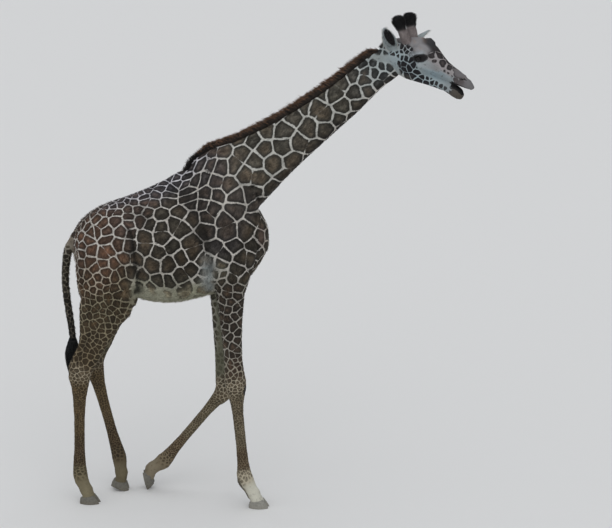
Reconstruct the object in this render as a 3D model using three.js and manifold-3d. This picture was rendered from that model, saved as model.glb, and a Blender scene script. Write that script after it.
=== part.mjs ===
// A walking giraffe, life size, in millimetres: +X is forward, +Y its left side, +Z up.
// All four feet are on the ground: the right pair planted flat, the left pair on the tips of the toes.
// The origin is on the ground, under the middle of the bounding box.
import * as THREE from "three";
import { mergeVertices } from "three/addons/utils/BufferGeometryUtils.js";
import Module from "manifold-3d";

const wasm = await Module();
wasm.setup();

// ---------- driving dimensions ----------
const GAP = 0.3; // clearance between neighbouring nodes
const RIGHT = -1;
const LEFT = 1;
const SIDES = [LEFT, RIGHT];
const deg = THREE.MathUtils.degToRad;

const HEAD = {
  joint: new THREE.Vector3(1722, -165, 3788), // where the skull meets the neck
  yaw: -26, // degrees, turned to its right
  pitch: 24, // degrees, nose down
};
const EYE = { radius: 27, at: new THREE.Vector3(265, 87, 118) };
const EAR = { length: 232, width: 58, thick: 4.5 };
const CLAW = { length: 166, width: 66, toeHeight: 78, heelHeight: 52, apart: 3 };
const MANE = { height: 60, halfWidth: 15, rooted: 30 };

// ---------- shapes ----------
// A closed three.js geometry as a manifold solid.
function solid(geometry) {
  const bare = geometry.clone().deleteAttribute("normal").deleteAttribute("uv");
  const merged = mergeVertices(bare, 1e-3);
  return new wasm.Manifold(
    new wasm.Mesh({
      numProp: 3,
      vertProperties: merged.attributes.position.array,
      triVerts: new Uint32Array(merged.index.array),
    }),
  );
}

function geometryOf(manifold) {
  const mesh = manifold.getMesh();
  return new THREE.BufferGeometry()
    .setAttribute("position", new THREE.BufferAttribute(mesh.vertProperties, 3))
    .setIndex(new THREE.BufferAttribute(mesh.triVerts, 1))
    .toNonIndexed();
}

const join = (...solids) => solids.reduce((a, b) => a.add(b));

// The value at t of a smooth curve through evenly spaced values.
const smooth = (values, t) =>
  new THREE.SplineCurve(values.map((v, i) => new THREE.Vector2(i, v))).getPoint(t).y;

// Moves each vertex of a geometry; move(vertex) changes the vertex it is given.
function reshape(geometry, move) {
  const place = geometry.attributes.position;
  const vertex = new THREE.Vector3();
  for (let i = 0; i < place.count; i++) {
    move(vertex.fromBufferAttribute(place, i));
    place.setXYZ(i, vertex.x, vertex.y, vertex.z);
  }
  return geometry;
}

// A fleshy tube through stations: each has a centre, a half width across the body, half depths above and
// below (on a leg, before and behind) and a lean, which narrows the upper half and widens the lower.
// Corner is the power of the section's rounding: 2 is an ellipse, more is squarer.
function flesh(stations, { sides = 14, rings = 2 * stations.length, grow = 0, corner = 2 } = {}) {
  const path = new THREE.CatmullRomCurve3(stations.map((s) => s.at.clone()), false, "centripetal");
  const line = new THREE.CatmullRomCurve3(stations.map((s) => s.at.clone()), false, "catmullrom", 0.5);
  const sizes = ["wide", "up", "down", "lean"].map((key) => stations.map((s) => s[key] ?? 0));
  const across = new THREE.Vector3(0, 1, 0);
  const round = (c) => Math.sign(c) * Math.abs(c) ** (2 / corner);
  const tube = new THREE.CylinderGeometry(1, 1, 1, sides, rings);
  return reshape(tube, (v) => {
    const t = v.y + 0.5;
    const [wide, up, down, lean] = sizes.map((values) => smooth(values, t));
    const ahead = line.getTangent(THREE.MathUtils.clamp(t, 0.002, 0.998));
    const side = across.clone().addScaledVector(ahead, -across.dot(ahead)).normalize();
    const above = ahead.clone().cross(side);
    const height = round(v.x);
    const width = round(v.z) * (1 - lean * height);
    const past = Math.trunc(2 * v.y) * grow; // only the two end caps move along the path
    v.copy(path.getPoint(t))
      .addScaledVector(ahead, past)
      .addScaledVector(side, width * (wide + grow))
      .addScaledVector(above, height * ((height > 0 ? up : down) + grow));
  });
}

// An egg of flesh: half sizes along X, Y and Z, turned about Y by tilt degrees.
function muscle(at, [along, across, high], tilt = 0, [sides, rings] = [10, 7]) {
  return new THREE.SphereGeometry(1, sides, rings)
    .scale(along, across, high)
    .rotateY(deg(tilt))
    .translate(at.x, at.y, at.z);
}

const point = (x, y, z) => new THREE.Vector3(x, y, z);
const station = (at, wide, up, down, lean) => ({ at, wide, up, down, lean });

// ---------- trunk ----------
// Each row: x, height of the back, height of the belly, half width, lean.
const TRUNK = [
  [-846, 2195, 2060, 40, 0],
  [-812, 2272, 1945, 118, 0.05],
  [-730, 2398, 1850, 186, 0.12],
  [-600, 2484, 1780, 226, 0.16],
  [-440, 2544, 1758, 246, 0.2],
  [-280, 2612, 1710, 275, 0.22],
  [-120, 2686, 1688, 290, 0.24],
  [30, 2776, 1700, 285, 0.28],
  [170, 2810, 1734, 262, 0.32],
  [330, 2760, 1786, 240, 0.3],
  [490, 2650, 1850, 212, 0.16],
  [620, 2530, 1950, 170, 0.05],
  [700, 2420, 2080, 118, 0],
  [738, 2310, 2150, 50, 0],
];
const TRUNK_AXIS = 2180; // the height of the widest level

function trunkFlesh() {
  const stations = TRUNK.map(([x, back, belly, wide, lean]) =>
    station(point(x, 0, TRUNK_AXIS), wide, back - TRUNK_AXIS, TRUNK_AXIS - belly, lean),
  );
  return flesh(stations, { sides: 20, rings: 19, corner: 2.15 });
}

// ---------- neck ----------
const NECK = [
  station(point(170, 0, 2400), 205, 235, 320, 0.2),
  station(point(380, 0, 2640), 196, 345, 322, 0.22),
  station(point(620, -20, 2828), 158, 262, 262, 0.2),
  station(point(858, -50, 3010), 128, 206, 208, 0.16),
  station(point(1110, -85, 3208), 108, 171, 173, 0.12),
  station(point(1368, -118, 3430), 95, 145, 154, 0.08),
  station(point(1530, -142, 3592), 88, 126, 146, 0.04),
  station(point(1650, -160, 3702), 84, 112, 152, 0),
  station(point(1742, -174, 3775), 78, 86, 148, 0),
];
const neckFlesh = () => flesh(NECK, { sides: 16, rings: 16 });

// ---------- head, in its own frame: x towards the nose, z up, from the neck joint ----------
// Each row: x, top, bottom, half width, lean.
const SKULL = [
  [-96, 56, -56, 60, 0],
  [-30, 98, -84, 84, 0.05],
  [60, 156, -92, 96, 0.12],
  [160, 212, -84, 102, 0.18],
  [245, 258, -60, 104, 0.26],
  [310, 250, -24, 92, 0.28],
  [370, 222, 4, 78, 0.2],
  [440, 190, 30, 66, 0.14],
  [520, 174, 48, 60, 0.1],
  [600, 166, 60, 58, 0.06],
  [670, 148, 76, 56, 0.04],
  [716, 130, 84, 44, 0],
  [742, 114, 92, 24, 0],
];
const JAW = [
  [84, 60, -98, 62, 0],
  [150, 58, -124, 72, 0],
  [250, 46, -102, 66, 0],
  [350, 44, -74, 54, 0],
  [450, 50, -50, 44, 0],
  [545, 62, -34, 42, 0],
  [606, 60, -38, 43, 0],
  [654, 48, -40, 37, 0],
  [690, 24, -24, 18, 0],
];
const headStations = (rows) =>
  rows.map(([x, top, bottom, wide, lean]) =>
    station(point(x, 0, (top + bottom) / 2), wide, (top - bottom) / 2, (top - bottom) / 2, lean),
  );
const OSSICONE = { root: point(112, 45, 160), tip: point(-18, 92, 300), halfWidth: 31, knob: 43 };
const inHead = new THREE.Matrix4()
  .makeTranslation(HEAD.joint.x, HEAD.joint.y, HEAD.joint.z)
  .multiply(new THREE.Matrix4().makeRotationZ(deg(HEAD.yaw)))
  .multiply(new THREE.Matrix4().makeRotationY(deg(HEAD.pitch)));
const toBody = (geometry) => geometry.applyMatrix4(inHead);

function headFlesh() {
  const skull = flesh(headStations(SKULL), { sides: 16, rings: 18, corner: 2.2 });
  const jaw = flesh(headStations(JAW), { sides: 12, rings: 10, corner: 2.3 });
  const bump = muscle(point(272, 0, 226), [62, 40, 48], 32, [8, 6]);
  const brow = (side) => muscle(point(244, side * 76, 150), [64, 34, 34], 14, [8, 6]);
  return join(...[skull, jaw, bump, ...SIDES.map(brow)].map((g) => solid(toBody(g))));
}

function ossicone(side, grow = 0) {
  const { root, tip, halfWidth, knob } = OSSICONE;
  const place = (t) => root.clone().lerp(tip, t).multiply(point(1, side, 1));
  const size = (w) => [w, w, w, 0];
  return toBody(
    flesh(
      [
        station(place(-0.12), ...size(halfWidth * 1.3)),
        station(place(0.3), ...size(halfWidth)),
        station(place(0.6), ...size(halfWidth * 0.96)),
        station(place(0.86), ...size(knob)),
        station(place(1.02), ...size(knob * 0.92)),
        station(place(1.12), ...size(knob * 0.5)),
      ],
      { sides: 10, rings: 8, grow },
    ),
  );
}

// Where each ear grows, where it points and the way its hollow faces: the left one is turned forward.
const EAR_TURN = {
  [RIGHT]: {
    root: point(40, -83, 62),
    pointing: point(-0.4, -0.53, 0.75),
    opening: point(0.62, -0.74, 0.15),
  },
  [LEFT]: {
    root: point(32, 82, 82),
    pointing: point(0.43, 0.56, 0.71),
    opening: point(0.8, 0.3, -0.5),
  },
};
// An ear: a leaf rolled about its length, more at the root than at the tip.
function ear(side, grow = 0) {
  const { root, pointing, opening } = EAR_TURN[side];
  const along = pointing.clone().normalize();
  const face = opening.clone().addScaledVector(along, -opening.dot(along)).normalize();
  const across = face.clone().cross(along);
  const leaf = new THREE.SphereGeometry(1, 12, 8);
  reshape(leaf, (v) => {
    const t = (v.y + 1) / 2;
    const rim = Math.sqrt(Math.max(1e-6, 1 - v.y * v.y));
    const reach = v.x / rim;
    const half = EAR.width * Math.sin(Math.PI * (0.14 + 0.8 * t ** 0.86)) ** 0.8;
    const roll = THREE.MathUtils.lerp(1.9, 0.75, t) * reach;
    const bend = half / THREE.MathUtils.lerp(1.5, 0.9, t);
    const width = bend * Math.sin(roll);
    const depth = bend * (Math.cos(roll) - 1) + v.z * (EAR.thick + grow) + 0.02 * EAR.length * Math.sin(Math.PI * t);
    const far = EAR.length * t;
    v.copy(root)
      .addScaledVector(along, far)
      .addScaledVector(across, width)
      .addScaledVector(face, depth * -1);
  });
  return toBody(leaf);
}

const eyeball = (side, grow = 0) =>
  toBody(
    new THREE.SphereGeometry(EYE.radius + grow, 10, 8).translate(EYE.at.x, side * EYE.at.y, EYE.at.z),
  );

// ---------- legs ----------
// Stations along the bones: bone, share of its length, half width, half depth before and behind.
const FORELEG = [
  [0, -0.32, 36, 64, 64],
  [0, 0.0, 76, 138, 138],
  [0, 0.5, 88, 138, 150],
  [1, 0.0, 84, 126, 122],
  [1, 0.12, 76, 112, 110],
  [1, 0.3, 64, 92, 102],
  [1, 0.5, 54, 76, 92],
  [1, 0.72, 50, 72, 84],
  [1, 0.86, 55, 84, 84],
  [1, 0.97, 62, 98, 86],
  [2, 0.05, 58, 84, 72],
  [2, 0.15, 44, 60, 56],
  [2, 0.28, 36, 46, 48],
  [2, 0.5, 34, 42, 48],
  [2, 0.72, 34, 40, 50],
  [2, 0.87, 40, 46, 60],
  [2, 0.98, 52, 62, 74],
  [3, 0.15, 53, 62, 74],
  [3, 0.5, 50, 52, 58],
  [3, 0.92, 56, 58, 58],
];
const HINDLEG = [
  [0, -0.26, 56, 80, 90],
  [0, 0.0, 104, 150, 178],
  [0, 0.45, 120, 200, 250],
  [0, 0.8, 108, 222, 268],
  [1, 0.06, 94, 202, 258],
  [1, 0.24, 78, 160, 232],
  [1, 0.42, 64, 137, 180],
  [1, 0.6, 54, 122, 124],
  [1, 0.76, 50, 116, 98],
  [1, 0.92, 55, 102, 112],
  [2, 0.04, 56, 98, 104],
  [2, 0.13, 50, 80, 80],
  [2, 0.24, 41, 60, 64],
  [2, 0.42, 36, 48, 54],
  [2, 0.64, 35, 46, 50],
  [2, 0.8, 38, 48, 52],
  [2, 0.95, 50, 62, 60],
  [3, 0.15, 52, 64, 62],
  [3, 0.52, 49, 52, 54],
  [3, 0.92, 55, 58, 56],
];
function leg(joints, stations) {
  return flesh(
    stations.map(([bone, share, wide, before, behind]) =>
      station(joints[bone].clone().lerp(joints[bone + 1], share), wide, before, behind, 0),
    ),
    { sides: 12, rings: 22 },
  );
}

// One of a foot's two claws, sole down, toe along X from the heel's back at x = 0.
function claw(side, grow = 0) {
  const { length, width, toeHeight, heelHeight, apart } = CLAW;
  const tall = new THREE.CylinderGeometry(1, 1, 1, 12, 2);
  return reshape(tall, (v) => {
    const up = v.y + 0.5;
    const [fore, out] = [v.z, v.x * side];
    const shrink = 1 - 0.34 * up ** 1.2;
    const x = length * (0.5 - 0.12 * up) + fore * (length / 2) * shrink;
    const narrow = 1 - 0.34 * Math.max(0, fore) ** 2 - 0.06 * up;
    const y = (out * (width / 2) * narrow + (apart + width) / 2 - fore * fore * (fore > 0) * 9) * side;
    const lid = THREE.MathUtils.mapLinear(x, 0, length, heelHeight, toeHeight);
    v.set(x + fore * grow, y + out * side * grow, up * lid + (v.y > 0 ? grow : -grow));
  });
}

// Each foot: where the claws' heel is, how far it is lifted (degrees, toe down) and its yaw.
const FEET = {
  fore_right: { heel: [584, -112], lift: 0, yaw: -3 },
  fore_left: { heel: [-350, 232], lift: 77, yaw: 4 },
  hind_right: { heel: [-806, -152], lift: 0, yaw: -4 },
  hind_left: { heel: [-612, 178], lift: 20, yaw: 4 },
};
const LEGS = {
  fore_right: [
    point(540, -165, 2200), point(450, -176, 1850), point(478, -142, 1028), point(556, -114, 235),
    point(632, -112, 88),
  ],
  fore_left: [
    point(470, 165, 2190), point(345, 180, 1790), point(352, 195, 900), point(-170, 228, 238),
    point(-282, 232, 172),
  ],
  hind_right: [
    point(-620, -150, 2200), point(-500, -185, 1760), point(-785, -168, 1130), point(-808, -154, 228),
    point(-748, -152, 86),
  ],
  hind_left: [
    point(-620, 150, 2200), point(-520, 185, 1745), point(-750, 180, 1128), point(-538, 178, 288),
    point(-520, 178, 128),
  ],
};
const WORN = 14; // how much of a lifted foot's toe is cut off flat by the ground
const footOf = (geometry, { heel: [x, y], lift, yaw }) =>
  geometry
    .rotateY(deg(lift))
    .rotateZ(deg(yaw))
    .translate(x, y, lift ? CLAW.length * Math.sin(deg(lift)) - WORN : 0);

const clawOf = (name, side, grow) => solid(footOf(claw(side, grow), FEET[name]));
const underground = solid(new THREE.BoxGeometry(6000, 3000, 400).translate(0, 0, -200));

// ---------- tail and mane ----------
const TAIL = [
  [-640, 2400, 48], [-735, 2352, 42], [-785, 2290, 38], [-832, 2222, 36], [-876, 2148, 33],
  [-905, 2033, 30], [-918, 1907, 28], [-920, 1781, 27], [-906, 1655, 27], [-886, 1500, 26],
  [-870, 1368, 24], [-867, 1318, 22],
].map(([x, z, r]) => station(point(x, 0, z), r, r, r * 0.9, 0));
const TUFT = [
  [-868, 1378, 27], [-870, 1342, 50], [-873, 1284, 62], [-877, 1212, 58], [-882, 1140, 42],
  [-888, 1080, 24], [-892, 1044, 8],
].map(([x, z, r]) => station(point(x, 0, z), r, r, r, 0));

// The mane stands on the crest of the neck, from the poll to the withers.
function maneFlesh(grow = 0) {
  const crest = [...Array(15).keys()].map((i) => {
    const t = THREE.MathUtils.lerp(0.085, 0.93, i / 14);
    const at = new THREE.CatmullRomCurve3(NECK.map((s) => s.at)).getPoint(t);
    const ahead = new THREE.CatmullRomCurve3(NECK.map((s) => s.at)).getTangent(t);
    const above = ahead.clone().cross(point(0, 1, 0)).normalize();
    const crown = smooth(NECK.map((s) => s.up), t);
    const tall = MANE.height * Math.min(1, 0.35 + 2.4 * Math.sin(Math.PI * (i + 0.4) / 14.8));
    return station(at.addScaledVector(above, crown), MANE.halfWidth, tall, MANE.rooted, 0.35);
  });
  return flesh(crest, { sides: 8, rings: 20, grow });
}

// ---------- whole animal ----------
const shoulder = (side) => [
  muscle(point(330, side * 142, 2380), [150, 92, 330], 24),
  muscle(point(512, side * 112, 2230), [138, 88, 160], -12),
];
const haunch = (side) => [muscle(point(-606, side * 128, 2070), [204, 120, 330], 0)];

const legNames = Object.keys(LEGS);
const legSolid = (name) => {
  const limb = solid(leg(LEGS[name], name.startsWith("fore") ? FORELEG : HINDLEG));
  return SIDES.reduce((rest, side) => rest.subtract(clawOf(name, side, GAP)), limb).subtract(underground);
};

const tail = (grow = 0) => flesh(TAIL, { sides: 10, rings: 16, grow });
const body = join(
  ...[trunkFlesh(), neckFlesh()].map(solid),
  headFlesh(),
  ...legNames.map(legSolid),
  ...SIDES.flatMap((side) => [...shoulder(side), ...haunch(side)]).map(solid),
);
const setIn = [
  maneFlesh(GAP),
  tail(GAP),
  ...SIDES.flatMap((side) => [ossicone(side, GAP), ear(side, GAP), eyeball(side, GAP)]),
];
const flayed = setIn.map(solid).reduce((rest, piece) => rest.subtract(piece), body);

// The thin cuts that part the body: a centre, the cut's normal, and its half size each way.
const CUTS = [
  { at: point(560, -15, 2745), normal: point(0.86, -0.07, 0.5), reach: [620, 620] },
  { at: point(1640, -154, 3724), normal: point(0.72, -0.12, 0.69), reach: [240, 240] },
  ...SIDES.flatMap((side) => [
    { at: point(385, side * 210, 1760), normal: point(0, side * -0.5, 1), reach: [260, 230] },
    { at: point(-500, side * 220, 1780), normal: point(0, side * -0.5, 1), reach: [300, 240] },
  ]),
];
const cutter = ({ at, normal, reach: [along, across] }) => {
  const turn = new THREE.Quaternion().setFromUnitVectors(point(0, 0, 1), normal.clone().normalize());
  const sheet = new THREE.BoxGeometry(2 * along, 2 * across, GAP).applyQuaternion(turn);
  return solid(sheet.translate(at.x, at.y, at.z));
};
const pieces = CUTS.reduce((rest, cut) => rest.subtract(cutter(cut)), flayed).decompose();

// Each piece is named by a place that lies in it.
const INSIDE = {
  trunk: point(0, 0, 2200),
  neck: point(1154, -90, 3260),
  head: point(120, 0, 100).applyMatrix4(inHead),
  foreleg_right: LEGS.fore_right[2],
  foreleg_left: LEGS.fore_left[2],
  hindleg_right: LEGS.hind_right[2],
  hindleg_left: LEGS.hind_left[2],
};
const probe = (at) => solid(new THREE.BoxGeometry(8, 8, 8).translate(at.x, at.y, at.z));
const pieceAt = (at) => pieces.find((piece) => piece.intersect(probe(at)).volume() > 1);

// ---------- the scene graph ----------
const giraffe = new THREE.Group();
function add(name, manifold, [r, g, b], roughness) {
  const material = new THREE.MeshStandardMaterial({ roughness, metalness: 0 });
  material.color.setRGB(r, g, b);
  const mesh = new THREE.Mesh(geometryOf(manifold), material);
  mesh.name = name;
  giraffe.add(mesh);
}
const COAT = [0.16, 0.1, 0.06];
const BLACK = [0.02, 0.018, 0.016];
const HORN = [0.05, 0.04, 0.035];

for (const [name, at] of Object.entries(INSIDE)) add(name, pieceAt(at), COAT, 0.7);
for (const side of SIDES) {
  const word = side === LEFT ? "left" : "right";
  add(`ossicone_${word}`, solid(ossicone(side)), BLACK, 0.8);
  add(`ear_${word}`, solid(ear(side)), COAT, 0.75);
  add(`eye_${word}`, solid(eyeball(side)), BLACK, 0.1);
}
for (const name of legNames)
  for (const side of SIDES)
    add(
      `hoof_${name}_${side === LEFT ? "left" : "right"}_claw`,
      clawOf(name, side).subtract(underground),
      HORN,
      0.55,
    );
add("mane", solid(maneFlesh()), [0.12, 0.05, 0.03], 0.8);
add("tail", solid(tail()), COAT, 0.75);
add("tail_tuft", solid(flesh(TUFT, { sides: 10, rings: 9 })).subtract(solid(tail(GAP))), BLACK, 0.8);

const box = new THREE.Box3().setFromObject(giraffe);
giraffe.position.set(-(box.min.x + box.max.x) / 2, -(box.min.y + box.max.y) / 2, -box.min.z);

export default giraffe;
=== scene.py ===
import math

import bmesh
import bpy
import numpy as np
from mathutils import Matrix, Vector
from mathutils.kdtree import KDTree


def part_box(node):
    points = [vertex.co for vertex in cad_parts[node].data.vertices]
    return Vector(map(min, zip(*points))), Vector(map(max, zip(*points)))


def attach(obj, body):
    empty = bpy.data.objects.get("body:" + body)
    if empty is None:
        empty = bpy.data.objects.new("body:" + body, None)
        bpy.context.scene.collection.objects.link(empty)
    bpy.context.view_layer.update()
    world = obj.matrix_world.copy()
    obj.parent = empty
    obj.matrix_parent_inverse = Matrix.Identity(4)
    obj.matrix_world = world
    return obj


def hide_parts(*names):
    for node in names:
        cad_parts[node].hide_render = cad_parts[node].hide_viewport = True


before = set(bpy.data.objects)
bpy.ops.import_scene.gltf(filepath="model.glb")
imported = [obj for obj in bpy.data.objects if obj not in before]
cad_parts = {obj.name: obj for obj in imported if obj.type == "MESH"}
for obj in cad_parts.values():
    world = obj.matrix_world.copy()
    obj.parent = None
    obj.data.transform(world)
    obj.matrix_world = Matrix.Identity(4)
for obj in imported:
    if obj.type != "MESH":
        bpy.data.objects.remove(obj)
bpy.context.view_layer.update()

# places are in millimetres from the ground under the middle of the trunk, as the solids were drawn
middle = Vector((-0.71859, 0.10349, 0))
bothSides = (1, -1)  # 1 is the animal's left


def at(x, y, z):
    return middle + Vector((x, y, z)) / 1000


headPlace = (
    Matrix.Translation(at(1722, -165, 3788))
    @ Matrix.Rotation(math.radians(-26), 4, "Z")
    @ Matrix.Rotation(math.radians(24), 4, "Y")
)


def onHead(x, y, z):
    return headPlace @ (Vector((x, y, z)) / 1000)


legJoints = {
    "foreRight": [
        (540, -165, 2200), (450, -176, 1850), (478, -142, 1028), (556, -114, 235), (632, -112, 88),
    ],
    "foreLeft": [
        (470, 165, 2190), (345, 180, 1790), (352, 195, 900), (-170, 228, 238), (-282, 232, 172),
    ],
    "hindRight": [
        (-620, -150, 2200), (-500, -185, 1760), (-785, -168, 1130), (-808, -154, 228), (-748, -152, 86),
    ],
    "hindLeft": [
        (-620, 150, 2200), (-520, 185, 1745), (-750, 180, 1128), (-538, 178, 288), (-520, 178, 128),
    ],
}
# the neck's middle line, with its half depth above and below it
neckLine = [
    ((380, 0, 2640), 345, 322),
    ((620, -20, 2828), 262, 262),
    ((858, -50, 3010), 206, 208),
    ((1110, -85, 3208), 171, 173),
    ((1368, -118, 3430), 145, 154),
    ((1530, -142, 3592), 126, 146),
    ((1650, -160, 3702), 112, 152),
    ((1742, -174, 3775), 86, 148),
]


def onLeg(name, bone, share, ahead=0):
    # a point beside a leg's bone, so many millimetres in front of it
    a, b = (Vector(p) for p in legJoints[name][bone:bone + 2])
    along = (b - a).normalized()
    front = Vector((-along.z, 0, along.x))
    return a.lerp(b, share) + front * ahead


def onNeck(t, rise):
    # a point of the neck: t counts the stations, rise is 1 on the crest and -1 at the throat
    i = min(int(t), len(neckLine) - 2)
    (a, upA, downA), (b, upB, downB) = neckLine[i], neckLine[i + 1]
    a, b = Vector(a), Vector(b)
    along = (b - a).normalized()
    above = Vector((-along.z, 0, along.x))
    up = upA + (upB - upA) * (t - i)
    down = downA + (downB - downA) * (t - i)
    return a.lerp(b, t - i) + above * rise * (up if rise > 0 else down)


def placeOf(mesh):
    out = np.empty(len(mesh.vertices) * 3)
    mesh.vertices.foreach_get("co", out)
    return out.reshape(-1, 3)


def normalsOf(mesh):
    out = np.empty(len(mesh.vertices) * 3)
    mesh.vertices.foreach_get("normal", out)
    return out.reshape(-1, 3)


def setPlace(mesh, places):
    mesh.vertices.foreach_set("co", places.ravel())
    mesh.update()


def addObject(name, data):
    piece = bpy.data.objects.new(name, data)
    bpy.context.scene.collection.objects.link(piece)
    return piece


def addPiece(name, mesh, material, replaced=()):
    piece = addObject(name, mesh)
    mesh.materials.clear()
    mesh.materials.append(material)
    mesh.shade_smooth()
    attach(piece, "root")
    if replaced:
        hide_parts(*replaced)
    return piece


def meshOf(bm, name):
    mesh = bpy.data.meshes.new(name)
    bm.to_mesh(mesh)
    bm.free()
    return mesh


def cadCopy(*nodes):
    # a merged copy of some of the frame's solids
    bm = bmesh.new()
    for node in nodes:
        bm.from_mesh(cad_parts[node].data)
    bmesh.ops.remove_doubles(bm, verts=bm.verts, dist=0.00002)
    return bm


def cut(bm, place, normal, **cleared):
    everything = [*bm.verts, *bm.edges, *bm.faces]
    bmesh.ops.bisect_plane(bm, geom=everything, plane_co=place, plane_no=normal, **cleared)


def fillRims(bm):
    bmesh.ops.holes_fill(bm, edges=[e for e in bm.edges if e.is_boundary])


def modified(mesh, kind, **settings):
    # the mesh with a modifier applied
    piece = addObject("working", mesh)
    step = piece.modifiers.new(kind, kind)
    for key, value in settings.items():
        setattr(step, key, value)
    done = bpy.data.meshes.new_from_object(piece.evaluated_get(bpy.context.evaluated_depsgraph_get()))
    bpy.data.objects.remove(piece)
    return done


def voxelSkin(bm, voxel):
    # one closed skin round all the pieces, without the small hollows left between them
    mesh = modified(meshOf(bm, "voxels"), "REMESH", mode="VOXEL", voxel_size=voxel)
    bm = bmesh.new()
    bm.from_mesh(mesh)
    left = set(bm.verts)
    islands = []
    while left:
        island, edge = set(), [left.pop()]
        while edge:
            vert = edge.pop()
            island.add(vert)
            for other in (e.other_vert(vert) for e in vert.link_edges):
                if other in left:
                    left.discard(other)
                    edge.append(other)
        islands.append(island)
    biggest = max(islands, key=len)
    bmesh.ops.delete(bm, geom=[v for v in bm.verts if v not in biggest], context="VERTS")
    return bm


def store(mesh, domain, values):
    for name, value in values.items():
        kind = "FLOAT" if value.ndim == 1 else "FLOAT_VECTOR"
        layer = mesh.attributes.new(name, kind, domain)
        numbers = np.ascontiguousarray(value, np.float32).ravel()
        layer.data.foreach_set("value" if value.ndim == 1 else "vector", numbers)


def edgesOf(mesh):
    out = np.empty(len(mesh.edges) * 2, dtype=np.int64)
    mesh.edges.foreach_get("vertices", out)
    return out.reshape(-1, 2)


def smoothed(mesh, steps):
    # each step moves the vertices that far towards the middle of their neighbours
    places, pairs = placeOf(mesh), edgesOf(mesh)
    count = np.bincount(pairs.ravel(), minlength=len(places))[:, None]
    for step in steps:
        total = np.empty_like(places)
        for k in range(3):
            total[:, k] = (
                np.bincount(pairs[:, 0], places[pairs[:, 1], k], len(places))
                + np.bincount(pairs[:, 1], places[pairs[:, 0], k], len(places))
            )
        places += step * (total / count - places)
    setPlace(mesh, places)


def relax(mesh, rounds):
    # evens the surface out without shrinking it
    smoothed(mesh, (0.5, -0.51) * rounds)


def melt(mesh, amount, rounds):
    # smooths where amount is 1
    smoothed(mesh, [0.5 * amount[:, None]] * rounds)


def awayFrom(places, line):
    # each place's distance from a line through points
    best = np.full(len(places), 1e9)
    for a, b in zip(line[:-1], line[1:]):
        a, b = np.array(a, float), np.array(b, float)
        run = b - a
        t = np.clip((places - a) @ run / (run @ run), 0, 1)
        best = np.minimum(best, np.linalg.norm(places - a - t[:, None] * run, axis=1))
    return best


def softEdge(value, low, high):
    t = np.clip((value - low) / (high - low), 0, 1)
    return t * t * (3 - 2 * t)


def smoothBump(away, width):
    return np.exp(-(away / width) ** 2)


def inHeadFrame(places):
    # places in millimetres in the head's own frame
    back = np.array(headPlace.inverted())
    return (places @ back[:3, :3].T + back[:3, 3]) * 1000


def inBodyFrame(places):
    return (places - np.array(middle)) * 1000


# the camera and the floor, in degrees and metres
view = {
    "azimuth": 6, "elevation": 15, "distance": 21.0, "target": (0.3204, 0.1035, 2.033), "lens": 154.41,
    "sensor": 36, "farthest": 400, "floorHalf": 90, "floorColour": (0.76, 0.755, 0.745),
}
light = {
    "sky": {"from": (-0.12, -0.25, 1), "strength": 1.7, "spread": 120},
    "front": {"from": (0.25, -1, 0.55), "strength": 0.45, "spread": 60},
    "worldColour": (0.86, 0.92, 1.0, 1), "worldStrength": 0.3,
}


def makeCamera():
    a, e = math.radians(view["azimuth"]), math.radians(view["elevation"])
    back = Vector((math.sin(a) * math.cos(e), -math.cos(a) * math.cos(e), math.sin(e)))
    data = bpy.data.cameras.new("camera")
    data.lens, data.sensor_width, data.clip_end = view["lens"], view["sensor"], view["farthest"]
    camera = addObject("camera", data)
    camera.location = Vector(view["target"]) + back * view["distance"]
    camera.rotation_euler = back.to_track_quat("Z", "Y").to_euler()
    bpy.context.scene.camera = camera


def makeLights():
    for name in ("sky", "front"):
        own = light[name]
        data = bpy.data.lights.new(name, "SUN")
        data.energy, data.angle = own["strength"], math.radians(own["spread"])
        sun = addObject(name, data)
        sun.rotation_euler = Vector(own["from"]).to_track_quat("Z", "Y").to_euler()
    world = bpy.data.worlds.new("world")
    bpy.context.scene.world = world
    world.use_nodes = True
    background = world.node_tree.nodes["Background"]
    background.inputs["Color"].default_value = light["worldColour"]
    background.inputs["Strength"].default_value = light["worldStrength"]
    bpy.context.scene.view_settings.view_transform = "Standard"


def makeFloor():
    bm = bmesh.new()
    bmesh.ops.create_grid(bm, x_segments=1, y_segments=1, size=view["floorHalf"])
    floor = addObject("floor", meshOf(bm, "floor"))
    paint = Board("floorPaint").finish(Base_Color=(*view["floorColour"], 1), Roughness=0.9)
    floor.data.materials.append(paint)


class Wire:
    # one output socket, so that shader maths reads as maths
    def __init__(self, board, socket):
        self.board, self.socket = board, socket

    def math(self, operation, *others, clamp=False):
        return self.board.node("ShaderNodeMath", {"operation": operation, "use_clamp": clamp}, self, *others)

    def vector(self, operation, *others, out="Vector", **named):
        settings = {"operation": operation}
        return self.board.node("ShaderNodeVectorMath", settings, self, *others, out=out, **named)

    def scaled(self, factor):
        return self.vector("SCALE", Scale=factor)

    def __add__(self, other):
        return self.math("ADD", other)

    def __sub__(self, other):
        return self.math("SUBTRACT", other)

    def __rsub__(self, other):
        return self.board.node("ShaderNodeMath", {"operation": "SUBTRACT"}, other, self)

    def __mul__(self, other):
        return self.math("MULTIPLY", other)

    def __truediv__(self, other):
        return self.math("DIVIDE", other)

    __radd__, __rmul__ = __add__, __mul__

    def least(self, other):
        return self.math("MINIMUM", other)

    def most(self, other):
        return self.math("MAXIMUM", other)

    def softLeast(self, other, reach):
        return self.math("SMOOTH_MIN", other, reach)

    def clamped(self):
        return self.math("ADD", 0, clamp=True)

    def step(self, low, high):
        # 0 below low and 1 above high, smooth between
        settings = {"interpolation_type": "SMOOTHSTEP"}
        return self.board.node("ShaderNodeMapRange", settings, self, low, high, 0.0, 1.0)


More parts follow.
